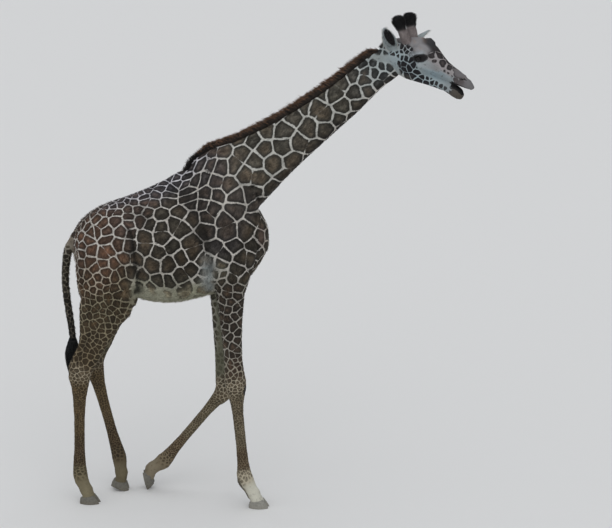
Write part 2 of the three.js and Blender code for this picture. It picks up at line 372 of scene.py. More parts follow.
class Board:
    # one material's nodes
    def __init__(self, name):
        self.material = bpy.data.materials.new(name)
        self.material.use_nodes = True
        self.tree = self.material.node_tree
        self.shader = next(n for n in self.tree.nodes if n.type == "BSDF_PRINCIPLED")

    def node(self, kind, settings=None, *values, out=0, **named):
        made = self.tree.nodes.new(kind)
        for key, value in (settings or {}).items():
            setattr(made, key, value)
        for key, value in [*enumerate(values), *named.items()]:
            if value is not None:
                self.plug(made.inputs[key], value)
        return Wire(self, made.outputs[out])

    def plug(self, socket, value):
        if isinstance(value, Wire):
            self.tree.links.new(value.socket, socket)
        else:
            socket.default_value = value

    def attribute(self, name, out="Fac"):
        return self.node("ShaderNodeAttribute", {"attribute_name": name}, out=out)

    def parts(self, vector):
        # the three numbers of a vector
        split = self.node("ShaderNodeSeparateXYZ", None, vector)
        return [Wire(self, socket) for socket in split.socket.node.outputs]

    def noise(self, where, scale, detail=2.0, out="Fac"):
        return self.node("ShaderNodeTexNoise", None, out=out, Vector=where, Scale=scale, Detail=detail)

    def mix(self, amount, a, b, way="MIX"):
        # two colours, mixed
        settings = {"data_type": "RGBA", "blend_type": way}
        return self.node("ShaderNodeMix", settings, amount, *[None] * 5, a, b, out=2)

    def shaded(self, colour, amount):
        # a colour times a number
        grey = self.node("ShaderNodeCombineColor", None, *[amount] * 3, out="Color")
        return self.mix(1.0, colour, grey, "MULTIPLY")

    def bump(self, height, distance, strength):
        return self.node("ShaderNodeBump", None, Strength=strength, Distance=distance, Height=height)

    def finish(self, **sockets):
        for key, value in sockets.items():
            self.plug(self.shader.inputs[key.replace("_", " ")], value)
        return self.material


def linear(r, g, b, a=1.0):
    # a colour as seen on a screen, 0 to 255, as the shader wants it
    tone = [c / 255 / 12.92 if c <= 10 else ((c / 255 + 0.055) / 1.055) ** 2.4 for c in (r, g, b)]
    return (*tone, a)


# What the coat is like along the body. Each row runs the way its hair lies: two ends, its reach, then at
# each end the size of the patches and the width of the pale lines between them, in millimetres, and the
# colours of patch and line. A line wider than its patches leaves the coat plain pale, and a negative one
# leaves it plain dark.
oliveBrown, blackBrown, redBrown, greyBrown = (56, 52, 45), (47, 44, 42), (84, 66, 55), (64, 60, 59)
stone, sand, bluish = (158, 154, 148), (134, 122, 104), (130, 141, 144)
mauve, dusk = (114, 110, 110), (58, 54, 56)


def trunkRows():
    rows = []
    under = (122, 121, 104)
    for s in bothSides:
        rows += [
            ((520, s * 120, 2560), (400, s * 170, 2300), 150, (104, 104), (17, 16),
             (66, 62, 59), (52, 49, 47), stone, stone),
            ((360, s * 90, 2760), (200, s * 190, 2500), 130, (88, 92), (15, 15),
             greyBrown, blackBrown, stone, stone),
            ((620, s * 110, 2300), (540, s * 150, 2080), 110, (84, 74), (15, 14),
             oliveBrown, oliveBrown, stone, stone),
            ((150, s * 220, 2420), (-150, s * 240, 2300), 140, (94, 92), (16, 16),
             oliveBrown, oliveBrown, stone, stone),
            ((100, s * 260, 2100), (-220, s * 260, 2020), 120, (102, 96), (16, 16),
             (44, 40, 33), oliveBrown, stone, (130, 126, 118)),
            ((60, s * 230, 1950), (-240, s * 230, 1950), 68, (84, 80), (17, 26),
             (54, 50, 42), (70, 67, 57), (114, 112, 102), under),
            ((160, s * 150, 1850), (-260, s * 170, 1850), 80, (80, 80), (38, 68),
             (98, 96, 82), (108, 106, 91), under, (126, 125, 110)),
            ((-330, s * 180, 2420), (-560, s * 190, 2300), 110, (66, 68), (14, 14),
             (80, 68, 62), redBrown, stone, stone),
            ((-600, s * 170, 2380), (-760, s * 120, 2200), 110, (58, 58), (13, 12),
             redBrown, redBrown, stone, stone),
            ((-540, s * 200, 2180), (-580, s * 220, 1900), 130, (80, 64), (14, 11),
             redBrown, (78, 60, 46), stone, (146, 136, 122)),
            ((-740, s * 120, 2120), (-760, s * 150, 1820), 90, (56, 48), (11, 9),
             redBrown, (76, 60, 44), stone, (136, 124, 108)),
            ((270, s * 240, 2090), (276, s * 180, 1890), 44, (60, 60), (40, 48),
             (90, 93, 90), (92, 95, 91), (98, 103, 102), (100, 104, 102)),
        ]
    rows += [
        ((300, 0, 2860), (-60, 0, 2760), 90, (72, 66), (14, 13),
         (52, 48, 47), (60, 57, 60), (160, 158, 160), (160, 158, 162)),
        ((-60, 0, 2760), (-560, 0, 2520), 120, (60, 50), (12, 11),
         (62, 60, 64), (70, 64, 64), (160, 158, 162), (158, 154, 156)),
        ((-560, 0, 2500), (-820, 0, 2250), 90, (48, 46), (11, 11),
         (74, 64, 60), (66, 56, 50), (150, 144, 140), (140, 132, 122)),
        ((300, 0, 1720), (-450, 0, 1740), 130, (80, 80), (60, 60),
         (108, 106, 90), (108, 106, 90), (124, 122, 104), (124, 123, 107)),
        ((640, 0, 2300), (520, 0, 1950), 90, (72, 64), (16, 22),
         oliveBrown, oliveBrown, (132, 122, 108), (136, 126, 110)),
        # a painted highlight on the point of each shoulder: lighter, pinker patches and lines
        ((700, 110, 2330), (690, 110, 2250), 44, (60, 60), (12, 12),
         (98, 84, 76), (92, 78, 70), (138, 126, 120), (132, 120, 112)),
        ((700, -110, 2330), (690, -110, 2250), 44, (60, 60), (12, 12),
         (98, 84, 76), (92, 78, 70), (138, 126, 120), (132, 120, 112)),
        ((-846, 0, 2180), (-800, 0, 2000), 70, (50, 50), (60, 60),
         sand, sand, (98, 88, 76), (108, 98, 84)),
    ]
    return rows


def neckRows():
    rows = []
    for low, high in ((0.4, 2.0), (2.0, 4.0), (4.0, 6.2)):
        top, bottom = onNeck(high, 0), onNeck(low, 0)
        cells = {0.4: (112, 118), 2.0: (98, 114), 4.0: (54, 92)}[low]
        patch, pale = ((54, 58, 59), (138, 145, 145)) if low == 4.0 else ((63, 61, 54), (152, 152, 147))
        rows.append((top, bottom, 190, cells, (19, 21), patch, (74, 70, 63), pale, (160, 158, 152)))
    for low, high in ((1.0, 3.5), (3.5, 6.4)):
        top, bottom = onNeck(high, -0.9), onNeck(low, -0.9)
        rows.append((top, bottom, 116, (84, 110), (15, 17), (36, 34, 31), (40, 38, 34), stone, stone))
    return rows


# the colours of each foot: fetlock patch and line, then pastern patch and line
footColours = {
    "foreRight": ((140, 131, 112), (148, 140, 122), (148, 144, 130), (164, 162, 150)),
    "foreLeft": ((92, 80, 64), (98, 88, 70), (100, 91, 75), (104, 96, 80)),
    "hindRight": ((88, 80, 61), (92, 84, 65), (96, 89, 70), (100, 93, 74)),
    "hindLeft": ((66, 56, 41), (72, 62, 46), (78, 71, 55), (84, 77, 60)),
}


def legRows():
    rows = []
    for name in legJoints:
        fore, right = name.startswith("fore"), name.endswith("Right")
        dark = (56, 49, 42) if fore else (66, 56, 41)
        pale = (134, 130, 122) if fore else (114, 107, 88)
        cannon = ((92, 82, 64), (110, 101, 83)) if fore else ((80, 66, 46), (92, 79, 57))
        low = ((82, 68, 52), (98, 86, 68)) if fore else ((70, 56, 40), (84, 72, 54))
        fetlock, fetlockLine, pastern, pasternLine = footColours[name]
        if fore:
            rows += [
                (onLeg(name, 1, 0.0), onLeg(name, 1, 0.55), 110, (56, 46), (11, 9),
                 dark, dark, pale, pale),
                (onLeg(name, 1, 0.55), onLeg(name, 1, 0.86), 80, (44, 34), (9, 8),
                 dark, (74, 58, 48), pale, (124, 116, 102)),
            ]
        else:
            rows += [
                (onLeg(name, 0, 0.6), onLeg(name, 1, 0.15), 150, (56, 44), (9, 8),
                 dark, dark, pale, pale),
                (onLeg(name, 1, 0.15), onLeg(name, 1, 0.85), 120, (42, 32), (8, 7),
                 dark, (66, 54, 38), pale, (104, 92, 72)),
            ]
        inner = Vector((0, 75 if right else -75, 0))
        top = 0.5 if fore else 0.75
        side = -34 if fore else 30
        high, down = onLeg(name, 0, top, side) + inner, onLeg(name, 1, 0.8, side) + inner * 0.75
        rows.append((high, down, 96, (50, 36), (40, 22),
                     (98, 99, 83), (86, 84, 68), (92, 94, 80), (84, 83, 69)))
        rows += [
            (onLeg(name, 1, 0.92), onLeg(name, 2, 0.06), 80, (26, 24), (7, 6),
             (104, 93, 76), (100, 88, 71), (142, 134, 117), (134, 125, 107)),
            (onLeg(name, 2, 0.12), onLeg(name, 2, 0.6), 80, (17, 15), (4, 3),
             cannon[0], cannon[0], cannon[1], cannon[1]),
            (onLeg(name, 2, 0.65), onLeg(name, 2, 0.84), 62, (15, 15), (3, 3),
             low[0], low[0], low[1], low[1]),
            (onLeg(name, 2, 0.93), onLeg(name, 3, 0.1), 58, (20, 30), (8, 17),
             fetlock, fetlock, fetlockLine, fetlockLine),
            (onLeg(name, 3, 0.35), onLeg(name, 3, 1.0), 58, (34, 34), (32, 36),
             pastern, pastern, pasternLine, pasternLine),
        ]
        if name == "foreRight":
            # painted shade on the back of the right fore pastern
            heelShade = (74, 66, 54)
            rows.append((onLeg(name, 3, 0.0, -54), onLeg(name, 3, 1.0, -54), 40, (30, 30), (-10, -6),
                         heelShade, heelShade, heelShade, heelShade))
    return rows


ears = {
    1: {"root": (32, 82, 82), "pointing": (0.43, 0.56, 0.71), "opening": (0.8, 0.3, -0.5)},
    -1: {"root": (40, -83, 62), "pointing": (-0.4, -0.53, 0.75), "opening": (0.62, -0.74, 0.15)},
    "length": 228, "width": 70, "thick": 4.6, "rolled": (1.9, 0.75), "open": (1.5, 0.9), "bowed": 0.02,
}


def earFrame(side):
    along = Vector(ears[side]["pointing"]).normalized()
    face = Vector(ears[side]["opening"])
    face = (face - along * face.dot(along)).normalized()
    return Vector(ears[side]["root"]), along, face, face.cross(along)


def earHalf(t):
    # half the breadth of the ear's leaf, from its root to its tip
    return ears["width"] * np.sin(np.pi * (0.14 + 0.835 * t ** 0.86)) ** 0.8


def earCurl(t):
    # how far the leaf is rolled and the radius of its roll, from its root to its tip
    (rollA, rollB), (a, b) = ears["rolled"], ears["open"]
    return rollA + (rollB - rollA) * t, earHalf(t) / (a + (b - a) * t)


def headRows():
    # the head's own rows, in its own frame
    bumpDark, ridge, rose = (50, 50, 52), (46, 42, 43), (136, 134, 135)
    rows = [
        ((292, 0, 262), (225, 0, 225), 40, (40, 40), (-30, -30), bumpDark, (66, 62, 62), mauve, mauve),
        ((330, 0, 232), (300, 0, 250), 34, (40, 40), (-30, -30), ridge, bumpDark, mauve, mauve),
        ((190, 0, 200), (60, 0, 165), 60, (60, 60), (-30, -30),
         (136, 134, 135), (118, 114, 115), mauve, mauve),
        ((720, 0, 125), (560, 0, 172), 52, (50, 50), (-20, -16),
         (112, 110, 111), (104, 100, 101), mauve, mauve),
        ((540, 0, 178), (330, 0, 232), 32, (52, 46), (7, 6),
         ridge, ridge, (118, 112, 111), (110, 105, 104)),
        ((690, 0, 20), (640, 0, 0), 40, (30, 30), (-20, -10), (74, 68, 60), (86, 80, 74), mauve, mauve),
        ((120, 0, -120), (-60, 0, -110), 64, (84, 88), (36, 20),
         (44, 43, 42), (36, 35, 34), (124, 128, 126), stone),
    ]
    for s in bothSides:
        rows += [
            ((250, s * 95, 50), (140, s * 92, 10), 46, (40, 42), (8, 9),
             (30, 30, 34), (32, 31, 35), (112, 120, 124), (116, 126, 130)),
            ((300, s * 84, 20), (180, s * 84, -40), 38, (42, 38), (10, 9),
             (30, 30, 34), (30, 30, 34), bluish, (112, 122, 126)),
            ((440, s * 60, -8), (310, s * 70, -40), 30, (34, 36), (11, 10),
             (40, 40, 44), (33, 33, 37), bluish, bluish),
            ((560, s * 45, 10), (450, s * 55, -12), 26, (34, 34), (18, 13),
             (70, 72, 74), (50, 50, 52), (118, 124, 126), bluish),
            ((575, s * 50, 84), (440, s * 66, 64), 32, (34, 34), (60, 50),
             dusk, dusk, (112, 118, 120), (106, 118, 123)),
            ((420, s * 68, 60), (320, s * 78, 48), 36, (30, 30), (34, 40),
             (76, 80, 84), (84, 88, 92), (108, 122, 128), (112, 120, 122)),
            ((420, s * 60, 110), (300, s * 84, 86), 30, (30, 30), (50, 60),
             (84, 80, 80), dusk, (106, 106, 106), (126, 132, 134)),
            ((540, s * 45, 146), (360, s * 62, 176), 30, (52, 46), (24, 20),
             (56, 52, 53), (56, 52, 53), (118, 114, 114), (120, 116, 116)),
            ((270, s * 70, 190), (170, s * 70, 175), 34, (60, 60), (-20, -20), rose, rose, mauve, mauve),
            ((650, s * 46, 130), (600, s * 50, 110), 30, (30, 30), (-8, 2),
             (90, 84, 84), (88, 82, 82), (118, 118, 118), (126, 130, 132)),
            ((170, s * 78, 150), (110, s * 78, 120), 32, (24, 24), (7, 7),
             (40, 39, 42), (40, 39, 42), (126, 130, 132), (126, 130, 132)),
            ((110, s * 84, 60), (30, s * 90, 30), 34, (28, 32), (14, 14),
             (44, 44, 46), (56, 54, 54), bluish, bluish),
            ((80, s * 90, -10), (-60, s * 92, -60), 62, (60, 70), (66, 50),
             (66, 66, 66), (60, 58, 54), (118, 127, 130), (126, 131, 129)),
            ((90, s * 88, -40), (150, s * 70, -112), 44, (60, 60), (60, 50),
             (64, 65, 66), (60, 60, 60), (118, 127, 130), (122, 128, 128)),
            ((20, s * 60, 90), (-60, s * 70, 60), 50, (52, 66), (13, 14),
             (66, 70, 72), (64, 64, 62), (124, 132, 134), (136, 138, 136)),
        ]
        root, along, _, _ = earFrame(s)
        tip = root + along * ears["length"]
        rows.append((tip, root + along * 30, 46, (30, 30), (70, 70),
                     dusk, dusk, (126, 131, 132), (120, 127, 128)))
    return rows


def tailRow():
    ends = [((-790, 0, 2290), (-905, 0, 2033)), ((-905, 0, 2033), (-868, 0, 1400))]
    return [
        (*ends[0], 60, (44, 36), (8, 8), (66, 58, 52), (60, 56, 48), (120, 114, 106), (112, 108, 98)),
        (*ends[1], 70, (32, 24), (7, 3), (54, 50, 42), (40, 36, 32), (100, 96, 84), (80, 74, 64)),
    ]


class Field:
    # the rows blended over the body: each place takes most from the rows that it is near
    def __init__(self):
        rows = [(at(*a), at(*b), *rest) for a, b, *rest in trunkRows() + neckRows() + legRows() + tailRow()]
        rows += [(onHead(*a), onHead(*b), *rest) for a, b, *rest in headRows()]
        self.start = np.array([r[0] for r in rows])
        self.end = np.array([r[1] for r in rows])
        self.reach = np.array([r[2] for r in rows]) / 1000
        colours = [[linear(*c)[:3] for c in r[5:9]] for r in rows]
        self.near = np.array([[r[3][0], r[4][0], *c[0], *c[2]] for r, c in zip(rows, colours)])
        self.far = np.array([[r[3][1], r[4][1], *c[1], *c[3]] for r, c in zip(rows, colours)])

    def sample(self, places):
        # for each place: patch size and line width in metres, patch and line colour, and the hair's lie
        total = np.zeros(len(places))
        values = np.zeros((len(places), self.near.shape[1]))
        lie = np.zeros((len(places), 3))
        for a, b, reach, near, far in zip(self.start, self.end, self.reach, self.near, self.far):
            run = b - a
            t = np.clip((places - a) @ run / (run @ run), 0, 1)
            away = np.linalg.norm(places - a - t[:, None] * run, axis=1) / reach
            weight = 1 / (0.05 + away ** 2) ** 3
            total += weight
            values += weight[:, None] * (near + t[:, None] * (far - near))
            lie += weight[:, None] * run / np.linalg.norm(run)
        values /= total[:, None]
        plain = softEdge(values[:, 1] / values[:, 0], 0.3, 0.8)
        values[:, 1] *= markings["thin"] + (1 - markings["thin"]) * plain
        return {
            "cell": values[:, 0] / 1000, "line": values[:, 1] / 1000, "patch": values[:, 2:5],
            "fade": softEdge(values[:, 1] / values[:, 0], 0.4, 0.85),
            "pale": values[:, 5:8], "lie": lie / (np.linalg.norm(lie, axis=1)[:, None] + 1e-9),
        }


# the seam between body and head is in millimetres, the other lengths in metres
skin = {
    "bodyVoxel": 0.009, "headVoxel": 0.0038, "bodyFaces": 104000, "headFaces": 86000, "coatDepth": 0.004,
    "seam": (1590, -148, 3660), "seamNormal": (0.72, -0.12, 0.69), "overlap": 0.2,
    "bodyRounds": 10, "headRounds": 6, "jawRounds": 70,
    "ankle": [(0.0, 0.050), (0.3, 0.049), (0.6, 0.046)], "ankleBreadth": 1.22, "inClaw": 0.9,
}
bodyNodes = ["trunk", "neck", "foreleg_right", "foreleg_left", "hindleg_right", "hindleg_left", "tail"]
clawNodes = [
    f"hoof_{end}_{leg}_{claw}_claw" for end in ("fore", "hind") for leg in ("right", "left")
    for claw in ("left", "right")
]
# each foot's claws, and how far they are tipped on to their toes, in degrees
feet = {
    "foreRight": ("hoof_fore_right", 0), "foreLeft": ("hoof_fore_left", 77),
    "hindRight": ("hoof_hind_right", 0), "hindLeft": ("hoof_hind_left", 20),
}


def clawMiddle(node):
    low, high = (Vector(p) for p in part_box(node))
    return (low + high) / 2


def addAnkle(bm, leg):
    # the pastern runs on into the top of the two claws
    word = feet[leg][0]
    claws = (clawMiddle(f"{word}_left_claw") + clawMiddle(f"{word}_right_claw")) / 2
    ankle = at(*legJoints[leg][4])
    for share, radius in skin["ankle"]:
        made = bmesh.ops.create_icosphere(bm, subdivisions=3, radius=radius)
        bmesh.ops.scale(bm, verts=made["verts"], vec=(1, skin["ankleBreadth"], 1))
        bmesh.ops.translate(bm, verts=made["verts"], vec=ankle.lerp(claws, share))


def addCore(bm, node):
    # the flesh inside a claw, so that the skin reaches into the hoof
    core, centre = cadCopy(node), clawMiddle(node)
    smaller = Matrix.Translation(centre) @ Matrix.Scale(skin["inClaw"], 4) @ Matrix.Translation(-centre)
    bmesh.ops.transform(core, verts=core.verts, matrix=smaller)
    bm.from_mesh(meshOf(core, "core"))


def thinned(mesh, faces):
    # the mesh with fewer triangles, fewest where it is flattest
    share = faces / (2 * len(mesh.polygons)) * 1
    mesh = modified(mesh, "DECIMATE", ratio=min(1, share), use_collapse_triangulate=True)
    bm = bmesh.new()
    bm.from_mesh(mesh)
    return bm


def skinBody(seam, normal):
    bm = cadCopy(*bodyNodes, "head")
    cut(bm, seam + normal * skin["overlap"], normal, clear_outer=True)
    fillRims(bm)
    for node in clawNodes:
        addCore(bm, node)
    for leg in feet:
        addAnkle(bm, leg)
    bm = voxelSkin(bm, skin["bodyVoxel"] * (1))
    mesh = meshOf(bm, "body")
    feetOnly = np.clip((0.30 - placeOf(mesh)[:, 2]) / 0.1, 0, 1)
    melt(mesh, 1 - 0.8 * feetOnly, 5)
    relax(mesh, skin["bodyRounds"])
    bm = thinned(mesh, skin["bodyFaces"])
    cut(bm, seam, normal, clear_outer=True)
    return bm


def addEar(bm, side):
    # a leaf rolled about its length, more at the root than at the tip
    root, along, opening, across = earFrame(side)
    made = bmesh.ops.create_uvsphere(bm, u_segments=32, v_segments=24, radius=1)
    for vert in made["verts"]:
        reachOut = math.sqrt(max(1e-6, 1 - vert.co.z ** 2))
        t = (vert.co.z + 1) / 2
        most, bend = earCurl(t)
        roll = most * vert.co.x / reachOut
        face = vert.co.y / reachOut
        depth = bend * (math.cos(roll) - 1)
        depth += math.copysign(math.sqrt(abs(face) * reachOut), face) * ears["thick"]
        depth += ears["bowed"] * ears["length"] * math.sin(math.pi * t)
        place = root + along * (ears["length"] * t) + across * (bend * math.sin(roll)) - opening * depth
        vert.co = onHead(*place)


def hornEnds(places):
    # the middles of an ossicone's foot and of its knob
    rise = places[:, 2]
    return places[rise < rise.min() + 30].mean(0), places[rise > rise.max() - 40].mean(0)


def addHornFoot(bm, word):
    # the skin climbs the lowest part of each ossicone
    foot = cadCopy("ossicone_" + word)
    places = inHeadFrame(np.array([v.co for v in foot.verts]))
    low, high = hornEnds(places)
    axis = Vector(high - low).normalized()
    reach = 70
    for vert, place in zip(foot.verts, places):
        gap = Vector(place - low)
        rise = gap.dot(axis)
        rim = gap - axis * rise
        share = min(1, max(0, rise / reach))
        flare = 1.0 + 0.25 * (1 - share) - 0.12 * share
        vert.co = onHead(*(Vector(low) + axis * min(rise, reach) + rim * flare))
    bm.from_mesh(meshOf(foot, "foot"))


# muscles and folds: a line seen from the side, its width and how far it stands out, in millimetres
bodyForms = [
    ([(180, 2700), (330, 2520), (470, 2340)], 40, 12),  # shoulder blade
    ([(90, 2640), (180, 2430), (270, 2240)], 48, -13),  # hollow behind it
    ([(520, 2800), (600, 2650), (650, 2520), (672, 2400)], 40, -11),  # where neck meets shoulder
    ([(640, 2700), (676, 2590), (698, 2490)], 14, -24),  # the fold there
    ([(618, 2660), (650, 2580), (668, 2500)], 16, 9),
    ([(640, 2310)], 62, 12),  # point of the shoulder
    ([(575, 2240), (520, 2100), (470, 1985)], 34, -10),
    ([(330, 1955)], 46, 9),  # elbow
    ([(235, 2330), (285, 2130), (330, 2010)], 40, -13),  # behind the elbow
    ([(-250, 2450)], 100, -16),  # hollow of the flank
    # the front edge of the thigh
    ([(-362, 2400), (-330, 2220), (-304, 2050), (-284, 1900), (-300, 1800)], 20, -32),
    ([(-408, 2330), (-375, 2120), (-350, 1900), (-390, 1780)], 38, 15),
    ([(-430, 2440)], 58, 13),  # hip
    ([(-775, 2285)], 46, 9),  # seat bone
    ([(-705, 2300), (-735, 2100), (-765, 1900), (-800, 1700)], 34, -8),
    ([(-520, 2330), (-570, 2130), (-560, 1930)], 40, -5),
    ([(-430, 1820)], 70, 8),  # stifle
    ([(-470, 1700), (-600, 1500), (-700, 1330)], 32, -4),
] + [([(150 - 62 * k, 2470), (110 - 66 * k, 2230), (130 - 62 * k, 1990)], 17, 2.2) for k in range(8)]

headForms = [
    ([(190, 5)], 66, 6),  # cheek
    ([(255, 66), (340, 66), (430, 82)], 16, 5),  # cheekbone
    ([(270, 34), (360, 40), (460, 64)], 20, -4),
    ([(150, -92), (270, -74), (390, -48), (500, -26)], 17, 3),  # edge of the jaw
    ([(180, 170)], 34, -8),  # temple
    ([(120, 66), (90, 20)], 30, -5),
    ([(365, 165), (450, 138), (540, 124)], 22, -6),  # beside the bridge of the nose
    ([(634, 134), (656, 147), (676, 146)], 7, -15),  # nostril
    ([(622, 142), (650, 163), (684, 158)], 8, 4),
    ([(626, 122), (660, 132), (688, 134)], 7, 3),
    ([(600, 84), (660, 92), (712, 104)], 10, 3),  # upper lip
    ([(548, 60), (596, 58)], 7, -4),  # corner of the mouth
    ([(640, 40), (684, 42)], 10, 3),  # lower lip
    ([(664, -12)], 24, 4),  # chin
    ([(222, 86), (262, 82), (300, 104)], 7, -3.5),  # under the eye
    ([(214, 74), (262, 66), (312, 92)], 6, -2),
    ([(330, 158), (350, 142), (366, 122)], 6, -4),  # tear line
    ([(206, 150), (250, 176), (300, 176)], 9, 5),  # brow
]


def legForms():
    # the hollows between bone and sinew, and the joints
    forms = []
    for leg in legJoints:
        def line(bone, *points):
            return [(p.x, p.z) for p in (onLeg(leg, bone, share, ahead) for share, ahead in points)]
        if leg.startswith("fore"):
            rows = [
                (line(1, (0.2, -14), (0.5, -22), (0.84, -20)), 15, -4.5),
                (line(1, (0.1, 46), (0.5, 30), (0.85, 28)), 15, -3),
                (line(2, (0.0, 10)), 34, 4),
                (line(2, (0.14, -12), (0.5, -12), (0.84, -14)), 9, -5),
                (line(3, (0.0, 0)), 30, 4),
            ]
        else:
            rows = [
                (line(1, (0.5, -44), (0.75, -48), (0.93, -50)), 20, -11),
                (line(1, (0.3, 40), (0.6, 34), (0.85, 34)), 18, -3.5),
                (line(2, (0.0, -20)), 34, 4),
                (line(2, (0.12, -14), (0.5, -14), (0.84, -14)), 9, -5),
                (line(3, (0.0, 0)), 30, 4),
            ]
        forms += [(leg, *row) for row in rows]
    return forms


def neckForms():
    return [
        ([(p.x, p.z) for p in (onNeck(t, rise) for t in (0.7, 2, 3, 4, 5, 6))], width, depth)
        for rise, width, depth in ((-0.52, 34, -7), (-0.82, 26, 3), (0.5, 34, -4), (0.12, 40, 3))
    ]


def liftAlong(places, line, width, height):
    # a ridge or a groove along a line, as seen from the side
    flat = [(x, 0, z) for x, z in (line if len(line) > 1 else line * 2)]
    flat[-1] = (flat[-1][0] + 0.1, 0, flat[-1][2])
    return smoothBump(awayFrom(places * (1, 0, 1), flat), width) * height


def model(mesh):
    # moves the skin in and out along its normals, by the forms above
    places, normals = placeOf(mesh), normalsOf(mesh)
    body, head = inBodyFrame(places), inHeadFrame(places)
    turn = np.array(headPlace.to_3x3())
    sideways = np.clip(np.abs(normals[:, 1]) * 1.6 - 0.2, 0, 1)
    headSide = np.clip(np.abs(normals @ turn[:, 1]) * 1.8 - 0.2, 0, 1)
    isHead = np.clip((head[:, 0] + 60) / 60, 0, 1)
    rise = np.zeros(len(places))
    for form in bodyForms + neckForms():
        rise += liftAlong(body, *form) * sideways * (1 - isHead)
    for leg, *form in legForms():
        mine = (body[:, 1] > 20) if leg.endswith("Left") else (body[:, 1] < -20)
        rise += liftAlong(body, *form) * sideways * mine * (body[:, 2] < 1850)
    for form in headForms:
        rise += liftAlong(head, *form) * headSide * isHead * (np.abs(head[:, 1]) > 8)
    dock = awayFrom(body, [(-905, 0, 2180), (-905, 0, 2033), (-868, 0, 1400)])
    rise += 9 * (1 - softEdge(dock, 45, 70)) * (body[:, 0] < -850) * (1 - softEdge(body[:, 2], 2100, 2200))
    wall = np.abs(head[:, 1]) < 130  # the ears keep their shape
    depth = skin["coatDepth"] * 1000 * (1 - 0.7 * isHead) * np.clip(body[:, 2] / 600, 0.3, 1)
    rise = np.where(isHead > 0, rise * wall, rise) - depth * np.where(isHead > 0, wall, 1)
    setPlace(mesh, places + normals * rise[:, None] / 1000)
    # how deep each place lies in a groove, for the painted shade in the creases
    return np.clip((-7 - rise) / 16, 0, 1)


# millimetres in the head's frame, and degrees
eyes = {
    "centre": (265, 87, 118), "radius": 26.5, "outward": (0.30, 0.95, 0.03), "tilt": 30,
    "lidInner": 27.3, "lidOuter": 32.5, "upperOver": 0.9, "upper": 40, "lower": 30, "corner": 66,
    "lidTurn": 100, "lidReach": 84, "bulge": 0.10,
    "irisDark": (18, 13, 10), "irisLight": (38, 25, 17), "rim": (12, 10, 10), "white": (28, 23, 21),
    "pupil": (5, 5, 7),
}


def eyeFrame(side):
    centre = Vector(eyes["centre"])
    centre.y *= side
    out = Vector(eyes["outward"])
    out.y *= side
    out.normalize()
    tilt = math.radians(eyes["tilt"])
    front = Vector((math.cos(tilt), 0, math.sin(tilt)))
    front = (front - out * front.dot(out)).normalized()
    up = front.cross(out) * side
    return centre, out, front, up


def addLid(bm, side, upper):
    # a slice of a ball over the eye, with an almond-shaped edge
    centre, out, front, up = eyeFrame(side)
    made = bmesh.ops.create_grid(bm, x_segments=26, y_segments=10, size=1)
    faces = list({f for v in made["verts"] for f in v.link_faces})
    way = 1 if upper else -1
    for vert in made["verts"]:
        turn = math.radians(eyes["lidTurn"]) * vert.co.x
        corner = min(1, abs(turn) / math.radians(eyes["corner"]))
        edge = way * (eyes["upper"] if upper else eyes["lower"]) * math.sqrt(1 - corner ** 2)
        share = (vert.co.y + 1) / 2
        lift = math.radians(edge + share * (way * eyes["lidReach"] - edge))
        ray = (out * math.cos(turn) + front * math.sin(turn)) * math.cos(lift) + up * math.sin(lift)
        far = eyes["lidInner"] + (eyes["upperOver"] if upper else 0)
        vert.co = onHead(*(centre + ray * far))
    thick = (eyes["lidOuter"] - eyes["lidInner"]) / 1000
    bmesh.ops.recalc_face_normals(bm, faces=faces)
    bmesh.ops.solidify(bm, geom=faces, thickness=-thick)


def skinHead(seam, normal):
    bm = cadCopy("neck", "head")
    cut(bm, seam - normal * skin["overlap"] / 2, normal, clear_inner=True)
    fillRims(bm)
    for side in bothSides:
        addEar(bm, side)
        addLid(bm, side, True)
        addLid(bm, side, False)
    for word in ("left", "right"):
        addHornFoot(bm, word)
    bm = voxelSkin(bm, skin["headVoxel"] * (1))
    mesh = meshOf(bm, "head")
    places = inHeadFrame(placeOf(mesh))
    flat = places * (1, 0, 1)
    # the edges of jaw and throat are rounder than the solids
    jawLine = [
        (60, 0, -84), (160, 0, -74), (245, 0, -48), (310, 0, -12),
        (370, 0, 13), (440, 0, 37), (520, 0, 53), (578, 0, 62),
    ]
    throatLine = [(60, 0, -84), (20, 0, -80), (-60, 0, -30), (-100, 0, 60)]
    soft = smoothBump(awayFrom(flat, jawLine), 26) + smoothBump(awayFrom(flat, throatLine), 45)
    soft = np.clip(soft, 0, 1) * (places[:, 2] < 60)
    melt(mesh, soft, skin["jawRounds"])
    relax(mesh, skin["headRounds"])
    bm = thinned(mesh, skin["headFaces"])
    cut(bm, seam + normal * 0.006, normal, clear_inner=True)
    return bm


def makeSkin():
    seam, normal = at(*skin["seam"]), Vector(skin["seamNormal"]).normalized()
    body, head = meshOf(skinBody(seam, normal), "body"), meshOf(skinHead(seam, normal), "head")
    bm = bmesh.new()
    bm.from_mesh(body)
    bm.from_mesh(head)
    bmesh.ops.bridge_loops(bm, edges=[e for e in bm.edges if e.is_boundary])
    bmesh.ops.triangulate(bm, faces=[f for f in bm.faces if len(f.verts) > 4])
    bmesh.ops.recalc_face_normals(bm, faces=bm.faces)
    mesh = meshOf(bm, "skin")
    seamBand = smoothBump((placeOf(mesh) - np.array(seam)) @ np.array(normal), 0.02)
    melt(mesh, seamBand * (np.abs(placeOf(mesh)[:, 2] - seam.z) < 0.4), 8)
    fold = model(mesh)
    return mesh, fold


